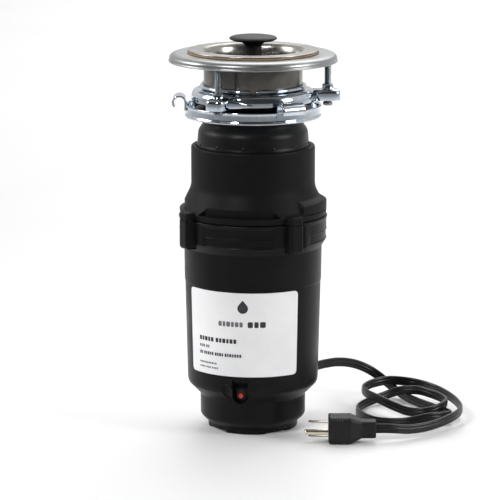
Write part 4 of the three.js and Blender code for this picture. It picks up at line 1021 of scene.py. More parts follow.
@dataclass
class SplashGuard:
    """The rubber baffle in the neck: an outer sleeve and eight drooping flaps."""

    flaps: int = 8
    slit: float = 1.2
    eye: float = 10.0
    sleeve: float = 2.2

    def parts(self) -> list[Part]:
        """The guard.

        Returns:
            The piece.
        """
        low, high = node_box("splash_guard")
        rim, base, top = high[0], low[2], high[2]
        sleeve = soften([
            (rim - self.sleeve, base, 0.5), (rim - 0.4, base, 0.4), (rim, base + 1.2, 0.6),
            (rim, top - 0.8, 0.5), (rim - 0.8, top, 0.4), (rim - self.sleeve, top, 0.4),
        ], 5, closed=True)
        flap = soften([
            (self.eye, base + 1.4, 0.5), (20, base + 2.2, 3), (30, base + 3.4, 3),
            (rim - 1.6, base + 2, 1), (rim - 1.6, base + 5.4, 1), (30, base + 5.4, 3),
            (20, base + 4.3, 3), (self.eye, base + 3.2, 0.5),
        ], 4, closed=True)
        skins = [revolve(sleeve, 120, True)]
        step = FULL / self.flaps
        for index in range(self.flaps):
            start = math.radians(22.5) + step * index
            skins.append(self._flap(flap, start, start + step))
        return [Part("baffle", skins, Finishes.cushion_rubber, "guard", "black_rubber", ["splash_guard"])]

    def _flap(self, line: np.ndarray, start: float, end: float) -> Skin:
        """One flap between two slits of even width.

        The slit takes asin(w / 2r) off each side of the angle, so its edges stay parallel.

        Args:
            line: The flap's outline as (radius, height).
            start: Direction of the slit before it.
            end: Direction of the slit after it.

        Returns:
            The surface.
        """
        share = np.linspace(0, 1, 14)[:, None]
        trim = np.arcsin(self.slit / 2 / line[None, :, 0])
        angle = start + trim + (end - start - 2 * trim) * share
        radius = np.broadcast_to(line[None, :, 0], angle.shape)
        height = np.broadcast_to(line[None, :, 1], angle.shape)
        return Skin(np.stack([radius * np.cos(angle), radius * np.sin(angle), height], -1))


# ---- hopper and shell -----------------------------------------------------------------------


@dataclass
class Lobes:
    """The four screw lobes round the band, as a change to a turned surface's radius."""

    directions: tuple[float, ...] = (45.0, 135.0, 225.0, 315.0)
    circle: float = 64.7
    radius: float = 8.0

    def reach(self, angle: np.ndarray, radius: np.ndarray, size: np.ndarray) -> np.ndarray:
        """The larger of a surface's radius and the lobes' blocks.

        A block of half width s reaches out to C + s; with rounded corners a ray meets it at
        ((cos f / (C + s))^8 + (|sin f| / s)^8)^(-1/8).

        Args:
            angle: Directions.
            radius: The surface's own radius.
            size: The lobe's half width at each point.

        Returns:
            The new radius.
        """
        s = np.maximum(size, 0.01)
        for direction in self.directions:
            away = turn_between(angle, math.radians(direction))
            along = np.clip(np.cos(away), 0.01, None) / (self.circle + s)
            block = (along**8 + (np.abs(np.sin(away)) / s) ** 8) ** (-1 / 8)
            radius = np.where((size > 0.5) & (np.abs(away) < 0.4), np.maximum(radius, block), radius)
        return radius

    def zones(self) -> list[tuple[float, float, float]]:
        """Where the surface needs closer columns."""
        return [(direction, 9.6, 0.24) for direction in self.directions]


@dataclass
class UpperHousing:
    """The hopper: rim, wall, sloping shoulder with pressed flats, flange and lobes, and the inlet."""

    lobes: Lobes = field(default_factory=Lobes)
    front: float = 270.0
    pad_direction: float = 350.0

    def parts(self) -> list[Part]:
        """The hopper, the rubber cushion and the housing screws.

        Returns:
            The pieces.
        """
        low, high = node_box("upper_housing")
        self.seam, self.rim = low[2], high[2]
        body = Part("hopper", [self.body(), *self.inlet()], Finishes.hopper_plastic, "root", "black_shell",
                    ["upper_housing"], 30)
        return [body, self.cushion(), *self.screws()]

    def body(self) -> Skin:
        """Outer wall, rim and inner wall of the hopper in one closed profile.

        Returns:
            The surface.
        """
        seam, rim = self.seam, self.rim
        outer = soften([
            (58, seam), (64.0, seam, 0.3), (64.3, seam + 0.9, 0.4), (64.8, seam + 5.0, 0.8),
            (64.4, seam + 6.2, 0.6), (62.6, seam + 8.2, 0.9), (55.4, seam + 23.2, 1.2),
            (54.5, seam + 27, 2), (54.5, rim - 1.4, 0.4), (53.9, rim, 0.5), (50.2, rim, 0.4),
            (50.0, rim - 1, 0.3), (50.0, rim - 6.6),
        ], 6)
        outer = subdivide(outer, 3.0, [(seam - 1, seam + 9, 0.4), (seam + 9, seam + 27, 0.6)])
        inner = subdivide(np.array([(43.6, rim - 6.8), (43.6, rim - 12), (51.5, rim - 19), (51.5, seam)]), 6)
        line = np.concatenate([outer, inner])
        outside = len(outer)

        def shape(angle: np.ndarray, radius: np.ndarray, height: np.ndarray) -> np.ndarray:
            """The lobes, flats and shoulder pad, on the outer wall alone."""
            new = self._shoulder(angle, radius, height)
            rows = (np.arange(len(line)) < outside)[:, None] & (radius > 54)
            return np.where(rows, new, radius)

        zones = self.lobes.zones() + [(self.pad_direction, 30.0, 0.8)]
        return revolve(line, directions(1.6, zones), True, shape)

    def _shoulder(self, angle: np.ndarray, radius: np.ndarray, height: np.ndarray) -> np.ndarray:
        """Sinks an upright panel between the lobes, raises the pad and adds the flat-topped lobes.

        A panel's half width narrows with height, so its ends slant.

        Args:
            angle: Directions.
            radius: Radius before.
            height: Levels.

        Returns:
            Radius after.
        """
        rise = height - self.seam
        for quarter in range(4):
            away = np.abs(turn_between(angle, math.radians(self.front + 90 * quarter)))
            half = np.radians(34.5 - 1.0 * np.clip(rise - 6, 0, 8))
            share = smooth_step((half - away) / math.radians(1.4)) * (rise > 5.6)
            radius = radius - np.clip(radius - 60.4, 0, None) * share
        away = np.abs(turn_between(angle, math.radians(self.pad_direction)))
        pad = 64.8 - 8.6 * smooth_step((rise - 12.5) / 7.5)
        share = smooth_step((math.radians(27) - away) / math.radians(3)) * (rise > 6) * (rise < 22)
        radius = radius + np.clip(pad - radius, 0, None) * share
        roof = np.clip((rise - 5.6) / 1.5, 0, 1)
        size = (self.lobes.radius - 0.35) * np.sqrt(1 - 0.35 * roof**2)
        return self.lobes.reach(angle, radius, np.where(rise < 7.2, size, 0.0))

    def inlet(self) -> list[Skin]:
        """The dishwasher nipple with its barbs, at the back.

        Returns:
            The surface.
        """
        _, high = node_box("upper_housing")
        tip, axis = high[1], self.seam - 0.3 + 44.5
        line = soften([
            (8.5, 53, 0.2), (11.9, 53, 0.4), (11.9, 55.4, 0.6), (10.7, 56.4, 0.5), (10.7, 64, 0.3),
            (11.3, 64.6, 0.3), (10.7, 68.6, 0.3), (10.7, 69, 0.2), (11.3, 69.6, 0.3), (10.7, 74, 0.3),
            (10.7, tip - 0.8, 0.5), (10.1, tip, 0.3), (8.5, tip, 0.3),
        ], 3, closed=True)
        return [revolve(line, 64, True).moved(along_x(math.pi / 2, axis))]

    def cushion(self) -> Part:
        """The rubber cushion, with small nubs round its foot.

        Returns:
            The piece.
        """
        low, high = node_box("rubber_mount")
        rim = self.rim
        seat, top = low[2], high[2]
        ring_floor = rim + 25
        line = soften([
            (42.5, seat, 0.8), (49.4, seat, 0.6), (49.6, rim + 0.6, 0.8), (49.0, rim + 2.6, 1),
            (48.6, rim + 8, 3), (48.2, rim + 13.5, 4.5), (44.6, rim + 18.6, 4.5), (43.6, rim + 21, 1.5),
            (43.9, ring_floor + 2.1, 0.5), (51.2, ring_floor + 2.1, 0.8), (51.6, ring_floor + 4, 1),
            (51.4, top - 2.4, 1), (43.2, top, 1), (39.3, top, 0.8), (38.3, top - 4, 1),
            (38.3, rim + 1, 3),
        ], 7, closed=True)
        line = subdivide(np.concatenate([line, line[:1]]), 2.5, [(rim + 0.5, rim + 5.5, 0.4)])[:-1]

        def nubs(angle: np.ndarray, radius: np.ndarray, height: np.ndarray) -> np.ndarray:
            """Raises twelve round nubs just above the rim, each a bell over 1.5 mm."""
            away = turn_between(angle * 12, math.radians(40)) / 12 * 49
            bell = np.exp(-((away / 0.95) ** 2 + ((height - rim - 2.9) / 0.9) ** 2))
            return radius + np.where(radius > 46, 0.75 * bell, 0)

        columns = np.linspace(0, FULL, 720, endpoint=False)
        return Part("cushion", [revolve(line, columns, True, nubs)], Finishes.cushion_rubber, "root",
                    "black_rubber",
                    ["rubber_mount"], 50)

    def screws(self) -> list[Part]:
        """Four cross-headed screws, each in a raised well on its lobe.

        Returns:
            The pieces.
        """
        parts = []
        for index, direction in enumerate(self.lobes.directions):
            node = f"housing_screw_{index + 1}"
            low, _ = node_box(node)
            top = self.seam + 6.4
            place = turned(math.radians(direction), (self.lobes.circle, 0, 0))
            head = soften([(0.6, top + 0.1), (2.6, top, 0.4), (3.3, top - 0.5, 0.4), (3.5, top - 1.8)],
                          4)[::-1]
            shank = np.array([(2.0, low[2] + 3), (2.0, top - 1.8)])
            cross = [self._bar(top + 0.22, turn) for turn in (0.0, math.pi / 2)]
            skins = [revolve(head, 32), revolve(shank, 20), *cross]
            parts.append(Part(f"lobe_screw_{index + 1}", [s.moved(place) for s in skins],
                              Finishes.motor_steel, "root",
                              "screw_steel", [node]))
        return parts

    @staticmethod
    def _bar(level: float, turn: float) -> Skin:
        """One low rib of the cross on a screw's head."""
        outline = superellipse(2.1, 0.42, 5, 20)
        rows = [np.column_stack([outline * s, np.full(20, level + z)]) for s,
                z in ((1, -0.4), (1, -0.05), (0.9, 0))]
        return Skin(np.stack(rows)).moved(Matrix.Rotation(turn, 4, "Z"))


@dataclass
class LowerShell:
    """The motor shell: foot, lower cylinder, corner, wall, band with lobes, and the reset recess."""

    lobes: Lobes = field(default_factory=Lobes)
    front: float = 271.5
    tab: float = 326.8
    step_drop: float = 58.0
    cord_direction: float = 60.0
    pocket: float = 6.4
    shroud: float = 8.3

    def parts(self) -> list[Part]:
        """The shell with its outlet and cord bosses.

        Returns:
            The piece.
        """
        _, high = node_box("lower_shell")
        self.seam = high[2]
        self.outlet_face = high[1]
        self.band = self.seam - 27
        button_low, button_high = node_box("reset_button")
        self.reset = (button_low[2] + button_high[2]) / 2
        skins = [self.body(), *self.outlet(), self.cord_boss(), self.hinge_tab()]
        return [Part("motor_housing", skins, Finishes.shell_plastic, "root", "black_shell", ["lower_shell"],
                     30)]

    def radius_at(self, height: np.ndarray | float) -> np.ndarray:
        """The wall's outer radius between the bottom corner and the band."""
        return 57.8 + 3.0 * np.clip((np.asarray(height) - 42.2) / (self.band - 42.2), 0, 1)

    def body(self) -> Skin:
        """Outer wall and cavity in one profile, with every feature as a change of radius.

        Returns:
            The surface.
        """
        step, band, seam = self.seam - self.step_drop, self.band, self.seam
        at_step = float(self.radius_at(step))
        outer = soften([
            (0.5, 0), (9.4, 0, 0.5), (10.6, 3, 0.6), (33.2, 3, 0.8), (34.4, 0, 0.5), (39.0, 0, 0.6),
            (39.7, 0.8, 0.5), (39.7, 5.1, 0.8), (45.4, 10.2, 1.2), (46.6, 12.2, 1.5), (46.7, 30.6, 1.4),
            (57.2, 41.1, 2.2), (57.9, 44.4, 1.6), (at_step - 0.1, step - 0.4, 0.2),
            (at_step + 0.35, step + 0.1, 0.25), (60.8, band - 0.2, 0.5), (64.4, band + 5.6, 0.8),
            (65.2, band + 7.2, 1), (65.2, seam - 1.5, 0.3), (65.6, seam - 1.0, 0.4),
            (65.2, seam - 0.05, 0.5), (61.0, seam),
        ], 5)
        outer = subdivide(outer, 3.2, [(-1, 12, 0.7), (27, 56, 0.5), (band - 2, seam + 1, 0.5)])
        inner = np.array([(61, seam - 5), (57.3, seam - 5), (57.3, 140), (55.2, 57), (48.4, 48), (48.4, 39),
                          (43.6, 34),
                          (43.6, 12), (39.6, 8), (0.5, 8)])
        line = np.concatenate([outer, inner])
        outside = (np.arange(len(line)) < len(outer))[:, None]

        def shape(angle: np.ndarray, radius: np.ndarray, height: np.ndarray) -> np.ndarray:
            """Every outer feature, on the outer wall alone."""
            new = self._foot(angle, radius, height)
            new = self._band(angle, new, height)
            new = self._recess(angle, new, height)
            return np.where(outside, new, radius)

        zones = self.lobes.zones() + [(self.front, 10.0, 0.25), (self.front - 14.0, 3.7, 0.5)]
        skin = revolve(line, directions(1.6, zones), reshape=shape)
        self._notch(skin.points)
        return skin

    def _notch(self, points: np.ndarray) -> None:
        """Lifts the foot's underside between its four pads by a smooth step in direction."""
        angle = np.arctan2(points[..., 1], points[..., 0])
        radius = np.hypot(points[..., 0], points[..., 1])
        away = np.abs(turn_between((angle - math.radians(self.front)) * 4, 0.0)) / 4
        share = smooth_step((away - math.radians(27)) / math.radians(2.0)) * (radius > 32.5)
        level = points[..., 2]
        points[..., 2] = np.where(level < 3.0, np.maximum(level, 1.8 * share), level)

    def _foot(self, angle: np.ndarray, radius: np.ndarray, height: np.ndarray) -> np.ndarray:
        """Draws the foot's wall in a little between its pads."""
        away = np.abs(turn_between((angle - math.radians(self.front)) * 4, 0.0)) / 4
        share = smooth_step((away - math.radians(24)) / math.radians(3.0))
        return radius - 0.9 * share * (height < 4.4) * (radius > 36)

    def _band(self, angle: np.ndarray, radius: np.ndarray, height: np.ndarray) -> np.ndarray:
        """The pressed panels between the lobes, and the lobes with rounded lower ends.

        Near its lower end a lobe's half width is s (1 - (1 - t)^3)^(1/3), a rounded corner.

        Args:
            angle: Directions.
            radius: Radius before.
            height: Levels.

        Returns:
            Radius after.
        """
        for quarter in range(4):
            away = np.abs(turn_between(angle, math.radians(270 + 90 * quarter)))
            share = smooth_step((math.radians(29) - away) / math.radians(1.6))
            upper = smooth_step((height - self.band - 6.6) / 1.2)
            upper = upper * smooth_step((self.seam - 12.0 - height) / 0.7)
            lower = smooth_step((height - self.seam + 12.3) / 0.7)
            lower = lower * smooth_step((self.seam - 2.4 - height) / 0.7)
            radius = radius - share * (0.9 * upper + 0.45 * lower)
        foot = self.band + 1.6
        t = np.clip((height - foot) / (self.lobes.radius * 0.6), 0, 1)
        size = self.lobes.radius * (1 - (1 - t) ** 3) ** (1 / 3)
        return self.lobes.reach(angle, radius, np.where(height > foot, size, 0.0))

    def _recess(self, angle: np.ndarray, radius: np.ndarray, height: np.ndarray) -> np.ndarray:
        """The U-shaped shroud and pocket of the reset button, and the scoop beside it.

        Args:
            angle: Directions.
            radius: Radius before.
            height: Levels.

        Returns:
            Radius after.
        """
        across = turn_between(angle, math.radians(self.front)) * 52.0
        above = height > self.reset
        spread = np.where(above, np.abs(across), np.hypot(across, height - self.reset))
        raised = smooth_step((self.shroud - spread) / 0.7) * (height > 27) * (height < 50)
        radius = radius + np.clip(56.6 - radius, 0, None) * raised
        top = self.reset + 15.2
        inside = np.maximum(spread - self.pocket, height - top)
        sunk = smooth_step(-inside / 0.6) * (height > 27) * (height < top)
        floor = 50.0 + 6.6 * smooth_step((height - self.reset - 5) / 10)
        radius = radius - np.clip(radius - floor, 0, None) * sunk
        side = turn_between(angle, math.radians(self.front - 12.2)) * 57
        scoop = np.clip(1 - (side / 4.6) ** 2 - ((height - 42.0) / 7.5) ** 2, 0, 1)
        return radius - 2.6 * np.sqrt(scoop)

    def outlet(self) -> list[Skin]:
        """The outlet's boss and its two-eared flange, at the back.

        Returns:
            The surfaces.
        """
        face, axis = self.outlet_face, self.seam - 23.5
        line = soften([
            (19.9, 56, 0.2), (22.4, 56, 0.2), (22.8, 64, 0.4), (22.8, face - 0.5, 0.5), (22.3, face, 0.4),
            (20.3, face, 0.4), (19.9, face - 0.5, 0.3),
        ], 4, closed=True)
        tube = revolve(line, 96, True).moved(along_x(math.pi / 2, axis))
        skins = [tube]
        for side in (-1, 1):
            ear = soften([
                (2.5, face - 5, 0.3), (6.2, face - 5, 0.5), (6.5, face - 4.4, 0.4),
                (6.5, face - 0.5, 0.5), (6.0, face, 0.3), (2.9, face, 0.3), (2.5, face - 0.5, 0.3),
            ], 3, closed=True)
            place = along_x(math.pi / 2, axis)
            skins.append(revolve(ear, 40, True).moved(Matrix.Translation((side * 28, 0, 0)) @ place))
            low, high = (22.4, 26.4) if side > 0 else (-26.4, -22.4)
            outline = superellipse((high - low) / 2, 6.3, 9, 40)
            rows = [np.column_stack([(low + high) / 2 + outline[:, 0] * s, np.full(40, y),
                                     axis + outline[:, 1] * s])
                    for y, s in ((face - 5, 0.96), (face - 4.7, 1), (face - 0.4, 1), (face - 0.05, 0.96))]
            skins.append(Skin(np.stack(rows)))
        return skins

    def cord_boss(self) -> Skin:
        """The round boss that the cord's relief comes out of."""
        line = soften([(5.5, 44, 0.2), (8.6, 44, 0.2), (8.6, 56.2, 0.7), (7.8, 57.0, 0.6), (5.8, 57.0, 0.4),
                       (5.5, 56.4, 0.3)], 4, True)
        return revolve(line, 56, True).moved(along_x(math.radians(self.cord_direction), 38.0))

    def hinge_tab(self) -> Skin:
        """The upright tab beside the front lobe, with rounded ends."""
        t = np.linspace(0, 1, 40)
        low, high = self.band + 4, self.seam - 0.6
        level = low + (high - low) * t
        ends = np.sqrt(np.clip(1 - np.abs(2 * t - 1) ** 14, 0.01, 1))
        outline = superellipse(1.8, 2.6, 4, 28)
        a = math.radians(self.tab)
        out, side = np.array([math.cos(a), math.sin(a), 0]), np.array([-math.sin(a), math.cos(a), 0])
        path = out * 64.6 + np.array([0, 0, 1]) * level[:, None]
        return carried(outline, path, np.broadcast_to(out, path.shape), np.broadcast_to(side, path.shape),
                       ends)


@dataclass
class Sticker:
    """The white label on the shell, with a drop mark and plain printed bars."""

    shell: LowerShell
    width: float = 108.0
    height: float = 75.0
    corner: float = 4.2
    thick: float = 0.4

    def parts(self) -> list[Part]:
        """The label and its two inks.

        Returns:
            The pieces.
        """
        low, high = node_box("label")
        self.middle = (low[2] + high[2]) / 2
        self.top = 0.5 + self.thick
        sheet = self.plate(self._rounded(self.width, self.height, self.corner), 0, 0, 0.15, self.top, 26)
        black = [self._print(self._drop(5.4), 2.9, 24.6)]
        black += self._line(7.2, 9.5, 5.2, 4.6, (3,))
        black += self._line(-41.6, -5.9, 3.9, 2.8, (5, 6))
        black += self._line(-41.6, -18.7, 2.9, 1.8, (2, 5, 4, 7))
        grey = self._line(-19.6, 9.5, 4.4, 3.2, (6,))
        grey += self._line(-41.6, -12.6, 2.6, 1.8, (3, 2))
        grey += self._line(-41.6, -27.4, 1.7, 1.4, (11,))
        grey += self._line(-41.6, -31.4, 1.7, 1.4, (4, 3, 4))
        return [
            Part("sticker", [sheet], Finishes.label_white, "root", "label_white", ["label"]),
            Part("sticker_black", black, Finishes.ink_black, "root", "black_shell"),
            Part("sticker_grey", grey, Finishes.ink_grey, "root", "switch_grey"),
        ]

    @staticmethod
    def _rounded(width: float, height: float, corner: float) -> np.ndarray:
        """A rectangle with rounded corners, its edges cut into short segments."""
        x, y = width / 2, height / 2
        line = soften([(x, -y, corner), (x, y, corner), (-x, y, corner), (-x, -y, corner)], 10, True)
        return subdivide(np.concatenate([line, line[:1]]), 1.5)[:-1]

    def _print(self, outline: np.ndarray, x: float, z: float) -> Skin:
        """One printed mark as a thin plate on the label's face."""
        return self.plate(outline, x, z, self.top - 0.1, self.top + 0.05, 5)

    def _line(self, start: float, z: float, height: float, width: float, groups: Sequence[int]) -> list[Skin]:
        """A row of plain printed blocks, in groups with a space between them.

        Every second block is a fifth narrower, and every third a tenth wider.

        Args:
            start: Left end along the arc from the label's middle.
            z: Its middle's height from the label's middle.
            height: Height of the blocks.
            width: Their usual width.
            groups: How many blocks are in each group.

        Returns:
            The blocks.
        """
        skins, x = [], start
        for blocks in groups:
            for index in range(blocks):
                own = width * (1 - 0.2 * (index % 2) + 0.1 * (index % 3 == 2))
                outline = self._rounded(own, height, 0.3 * min(own, height))
                skins.append(self._print(outline, x + own / 2, z))
                x += own + 0.24 * width + 0.15
            x += 0.55 * width
        return skins

    @staticmethod
    def _drop(radius: float) -> np.ndarray:
        """A water drop: a circle whose upper half is drawn in and up to a point."""
        t = np.linspace(0, FULL, 72, endpoint=False) + math.pi / 2
        lift = np.clip(np.sin(t), 0, 1) ** 3
        return np.column_stack([radius * np.cos(t) * (1 - 0.55 * lift) * 0.86,
                                radius * (np.sin(t) * 0.86 + 0.42 * lift) - 0.5])

    def plate(self, outline: np.ndarray, x: float, z: float, low: float, high: float, rings: int) -> Skin:
        """A thin plate wrapped on the shell: x runs round it as arc length, z up it.

        The rows are the outline on the shell, the outline lifted, then smaller copies of it that
        close in on the middle.

        Args:
            outline: Points round the plate.
            x: Its middle along the arc, from the label's middle.
            z: Its middle's height from the label's middle.
            low: Underside above the shell.
            high: Face above the shell.
            rings: Copies between the edge and the middle.

        Returns:
            The surface.
        """
        shares = np.concatenate([[0.04], np.linspace(0.3, 1, 3), [1.0], np.linspace(0.995, 0.02, rings)])
        lifts = np.concatenate([np.full(4, low), [high - 0.05], np.full(rings, high)])
        across = x + outline[None, :, 0] * shares[:, None]
        level = self.middle + z + outline[None, :, 1] * shares[:, None]
        angle = math.radians(self.shell.front) + across / 60.2
        radius = self.shell.radius_at(level) + lifts[:, None]
        return Skin(np.stack([radius * np.cos(angle), radius * np.sin(angle), level], -1))


@dataclass
class ResetSwitch:
    """The overload switch's collar in its recess, and the red button."""

    direction: float = 271.5

    def parts(self) -> list[Part]:
        """The collar and the button.

        Returns:
            Both pieces.
        """
        low, high = node_box("reset_button")
        axis = (low[2] + high[2]) / 2
        tip, back = -low[1], -high[1]
        place = along_x(math.radians(self.direction), axis)
        button = soften([(0.4, back), (2.3, back, 0.2), (2.4, back + 0.4), (2.4, tip - 1, 0.5),
                         (1.7, tip - 0.1, 0.6), (0.3, tip)], 5)
        face = tip - 3
        collar = soften([
            (2.75, face - 9, 0.2), (4.6, face - 9, 0.2), (4.6, face - 0.9, 0.6), (3.9, face, 0.5),
            (3.1, face - 0.1, 0.3), (2.75, face - 0.8, 0.3),
        ], 5, True)
        case_low, case_high = node_box("overload_switch")
        outline = superellipse(7.9, (case_high[2] - case_low[2]) / 2 - 0.1, 8, 40)
        middle = (case_low[2] + case_high[2]) / 2
        rows = [np.column_stack([outline[:, 0] * s, np.full(40, -d), middle + outline[:, 1] * s])
                for d, s in ((26.2, 0.95), (26.6, 1), (40.6, 1), (41.0, 0.95))]
        case = Skin(np.stack(rows)).moved(Matrix.Rotation(math.radians(self.direction - 270), 4, "Z"))
        return [
            Part("reset_press", [revolve(button, 40).moved(place)], Finishes.button_red, "reset",
                 "button_red", ["reset_button"]),
            Part("reset_collar", [revolve(collar, 48, True).moved(place), case], Finishes.switch_grey, "root",
                 "switch_grey",
                 ["overload_switch"]),
        ]


# ---- cord and plug --------------------------------------------------------------------------


@dataclass
class Flex:
    """The flat power cord, its relief and its three-pin plug.

    The route is in axes turned by 13 degrees from the part's, in millimetres, as in the CAD.
    """

    turn: float = math.radians(13)
    width: float = 8.4
    thick: float = 3.6
    direction: float = math.radians(60)
    level: float = 38.0

    ROUTE = (
        (56.5, 60.8, 38), (67, 72, 38), (80, 85, 36.4), (95, 97.5, 31.5), (109, 104.5, 24),
        (121, 104.5, 15.5), (131, 98, 8.2), (138.5, 86, 5), (145.5, 71, 4.6), (154, 55, 4.6),
        (164, 39, 4.6), (173, 23, 5), (177, 5.5, 6.8), (171.5, -11, 9.6), (157, -20.5, 11),
        (135, -22.5, 7.2), (112, -11, 4.7), (97.5, 12, 4.6), (95.5, 36, 4.6), (105, 58, 4.8),
        (120, 73, 6.8), (135, 78.5, 10.6), (151, 74, 12.4), (164, 61, 12), (172.5, 44, 12),
        (174.5, 27, 12.8), (169, 11.5, 12.6), (156.5, 3.5, 10), (141, 8.5, 8.8), (127.5, 22, 10.4),
        (115.5, 37.5, 12.6), (105, 54, 13.8), (102, 72, 14), (110, 87.5, 15), (126, 96.8, 16),
        (148, 96.5, 14.2), (167, 82, 12.2), (179, 58, 11.2), (185.5, 31, 11), (186, 3, 11.6),
        (176, -22, 11.2), (157.5, -40, 8.8), (138, -53, 8.8), (126, -60.4, 11), (116.5, -62.9, 12),
        (107.5, -63, 12),
    )

    def centreline(self) -> np.ndarray:
        """The cord's centreline in the part's axes, in millimetres."""
        line = curve_through(np.array(self.ROUTE, float), 14)
        return line @ np.array(Matrix.Rotation(self.turn, 3, "Z")).T

    def outline(self) -> np.ndarray:
        """The flat section: an oval with two grooves on each side between its three wires.

        Half its thickness at height v is t/2 times an oval, less two bells at the grooves.
        """
        t = np.linspace(0, FULL, 44, endpoint=False)
        v = self.width / 2 * np.sin(t)
        u = self.thick / 2 * np.sign(np.cos(t)) * np.abs(np.cos(t)) ** 0.62
        groove = sum(np.exp(-(((v - place) / 0.42) ** 2)) for place in (-1.45, 1.45))
        return np.column_stack([u * (1 - 0.42 * groove), v])

    def build(self) -> None:
        line = self.centreline()
        along = np.gradient(line, axis=0)
        along /= np.linalg.norm(along, axis=1)[:, None]
        side = np.cross(along, (0, 0, 1))
        side /= np.linalg.norm(side, axis=1)[:, None]
        up = np.cross(side, along)
        cord = Part("flex", [carried(self.outline(), line, side, up)], Finishes.cord_rubber, "root",
                    "black_rubber",
                    ["power_cord"], 60).build()
        self.relief().build()
        plug = [part.build() for part in self.plug()]

    def relief(self) -> Part:
        """The tapered relief with its ring ribs, from the boss out to the cord.

        Returns:
            The piece.
        """
        start, end = 49.8, 82.6
        x = np.linspace(start, end, 110)
        share = np.clip((x - 57.8) / (end - 57.8), 0, 1)
        ribs = 0.42 * (0.5 + 0.5 * np.cos((x - 58.4) / 3.1 * FULL)) * (x > 59) * (x < 79)
        flat = smooth_step((share - 0.35) / 0.65)
        rows = []
        for position, t, rib, f in zip(x, share, ribs, flat):
            half_u = 5.1 - 2.7 * f - 0.4 * t + rib
            half_v = 5.1 - 0.15 * t + rib
            outline = superellipse(half_u, half_v, 2 + 0.8 * f, 40)
            rows.append(np.column_stack([np.full(40, position), outline[:, 0], self.level + outline[:, 1]]))
        ends = np.stack(rows)
        for index, scale in ((0, 0.9), (-1, 0.86)):
            ends[index, :, 1] *= scale
            ends[index, :, 2] = self.level + (ends[index, :, 2] - self.level) * scale
        skin = Skin(ends).moved(Matrix.Rotation(self.direction, 4, "Z"))
        return Part("cord_relief", [skin], Finishes.cord_rubber, "root", "black_rubber", ["strain_relief"],
                    45)

    def plug(self) -> list[Part]:
        """The moulded plug and its blades and pin.

        Returns:
            The pieces.
        """
        end = np.array(self.ROUTE[-1])
        place = Matrix.Rotation(self.turn, 4, "Z") @ Matrix.Translation(Vector(end))
        skins = [skin.moved(place) for skin in self.plug_body()]
        parts = [Part("plug_moulding", skins, Finishes.soft_black, "root", "black_rubber", ["plug_body"], 30)]
        for index, node in enumerate(("plug_blade_1", "plug_blade_2")):
            parts.append(Part(f"blade_{index + 1}", [self._blade(node)], Finishes.blade_metal, "root",
                              "blade_metal", [node], 40))
        parts.append(Part("earth_pin", [self._pin()], Finishes.blade_metal, "root", "blade_metal",
                          ["plug_ground_pin"], 40))
        return parts

    def plug_body(self) -> list[Skin]:
        """The plug's head, waist and tail along -X, and two dimples on the tail.

        Its half height and half width are read along the length from a few stations.

        Returns:
            The surfaces.
        """
        stations = np.array([
            (-0.3, 7.0, 6.4), (-1.0, 7.65, 7.0), (-11.5, 7.65, 7.2), (-13.0, 7.7, 7.6),
            (-21.0, 11.4, 11.3), (-22.5, 12.0, 12.0), (-24.6, 12.0, 12.0), (-40.3, 12.0, 12.0),
            (-41.3, 11.7, 11.7), (-41.7, 11.0, 11.0),
        ])
        x = -np.concatenate([np.linspace(0.3, 2, 6), np.linspace(2.5, 23, 42), np.linspace(23.5, 40, 34),
                             np.linspace(40.3, 41.7, 6)])
        order = np.argsort(stations[:, 0])
        high = np.interp(x, stations[order, 0], stations[order, 1])
        wide = np.interp(x, stations[order, 0], stations[order, 2])
        grip = 0.28 * (0.5 + 0.5 * np.cos(x / 2.1 * FULL)) * (x < -24.5) * (x > -38.5)
        rows = [np.column_stack([np.full(56, p), superellipse(w - g, h - g, 6.5, 56)]) for p, h, w,
                g in zip(x, high, wide, grip)]
        dimples = [self._dimple(-5.2, z) for z in (-3.4, 3.4)]
        return [Skin(np.stack(rows)), *dimples]

    @staticmethod
    def _dimple(x: float, z: float) -> Skin:
        """A low ring on the tail's front side that reads as a moulding hole."""
        line = soften([(1.0, -0.5, 0.1), (2.0, -0.5, 0.1), (1.9, 0.35, 0.2), (1.4, 0.5, 0.2),
                       (1.05, 0.2, 0.1)], 3, True)
        side = Matrix.Translation((x, -7.15, z)) @ Matrix.Rotation(math.pi / 2, 4, "X")
        return revolve(line, 24, True).moved(side)

    def _lying(self, node: str) -> tuple[np.ndarray, np.ndarray]:
        """A node's corners in the cord's own axes."""
        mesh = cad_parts[node].data
        places = np.zeros(len(mesh.vertices) * 3, np.float32)
        mesh.vertices.foreach_get("co", places)
        own = places.reshape(-1, 3) / MM @ np.array(Matrix.Rotation(self.turn, 3, "Z"))
        return own.min(0), own.max(0)

    def _blade(self, node: str) -> Skin:
        """A flat blade with rounded edges and a chamfered tip."""
        low, high = self._lying(node)
        middle, half = (low + high) / 2, (high - low) / 2
        x = np.array([high[0], low[0] + 2.6, low[0] + 1.4, low[0] + 0.5, low[0]])
        scale = ((1, 1), (1, 1), (0.95, 0.9), (0.82, 0.62), (0.62, 0.4))
        rows = [np.column_stack([np.full(36, p), middle[1:] + superellipse(half[1] * a, half[2] * b, 5, 36)])
                if half[2] < half[1] else
                np.column_stack([np.full(36, p), middle[1:] + superellipse(half[1] * b, half[2] * a, 5, 36)])
                for p, (a, b) in zip(x, scale)]
        return Skin(np.stack(rows)).moved(Matrix.Rotation(self.turn, 4, "Z"))

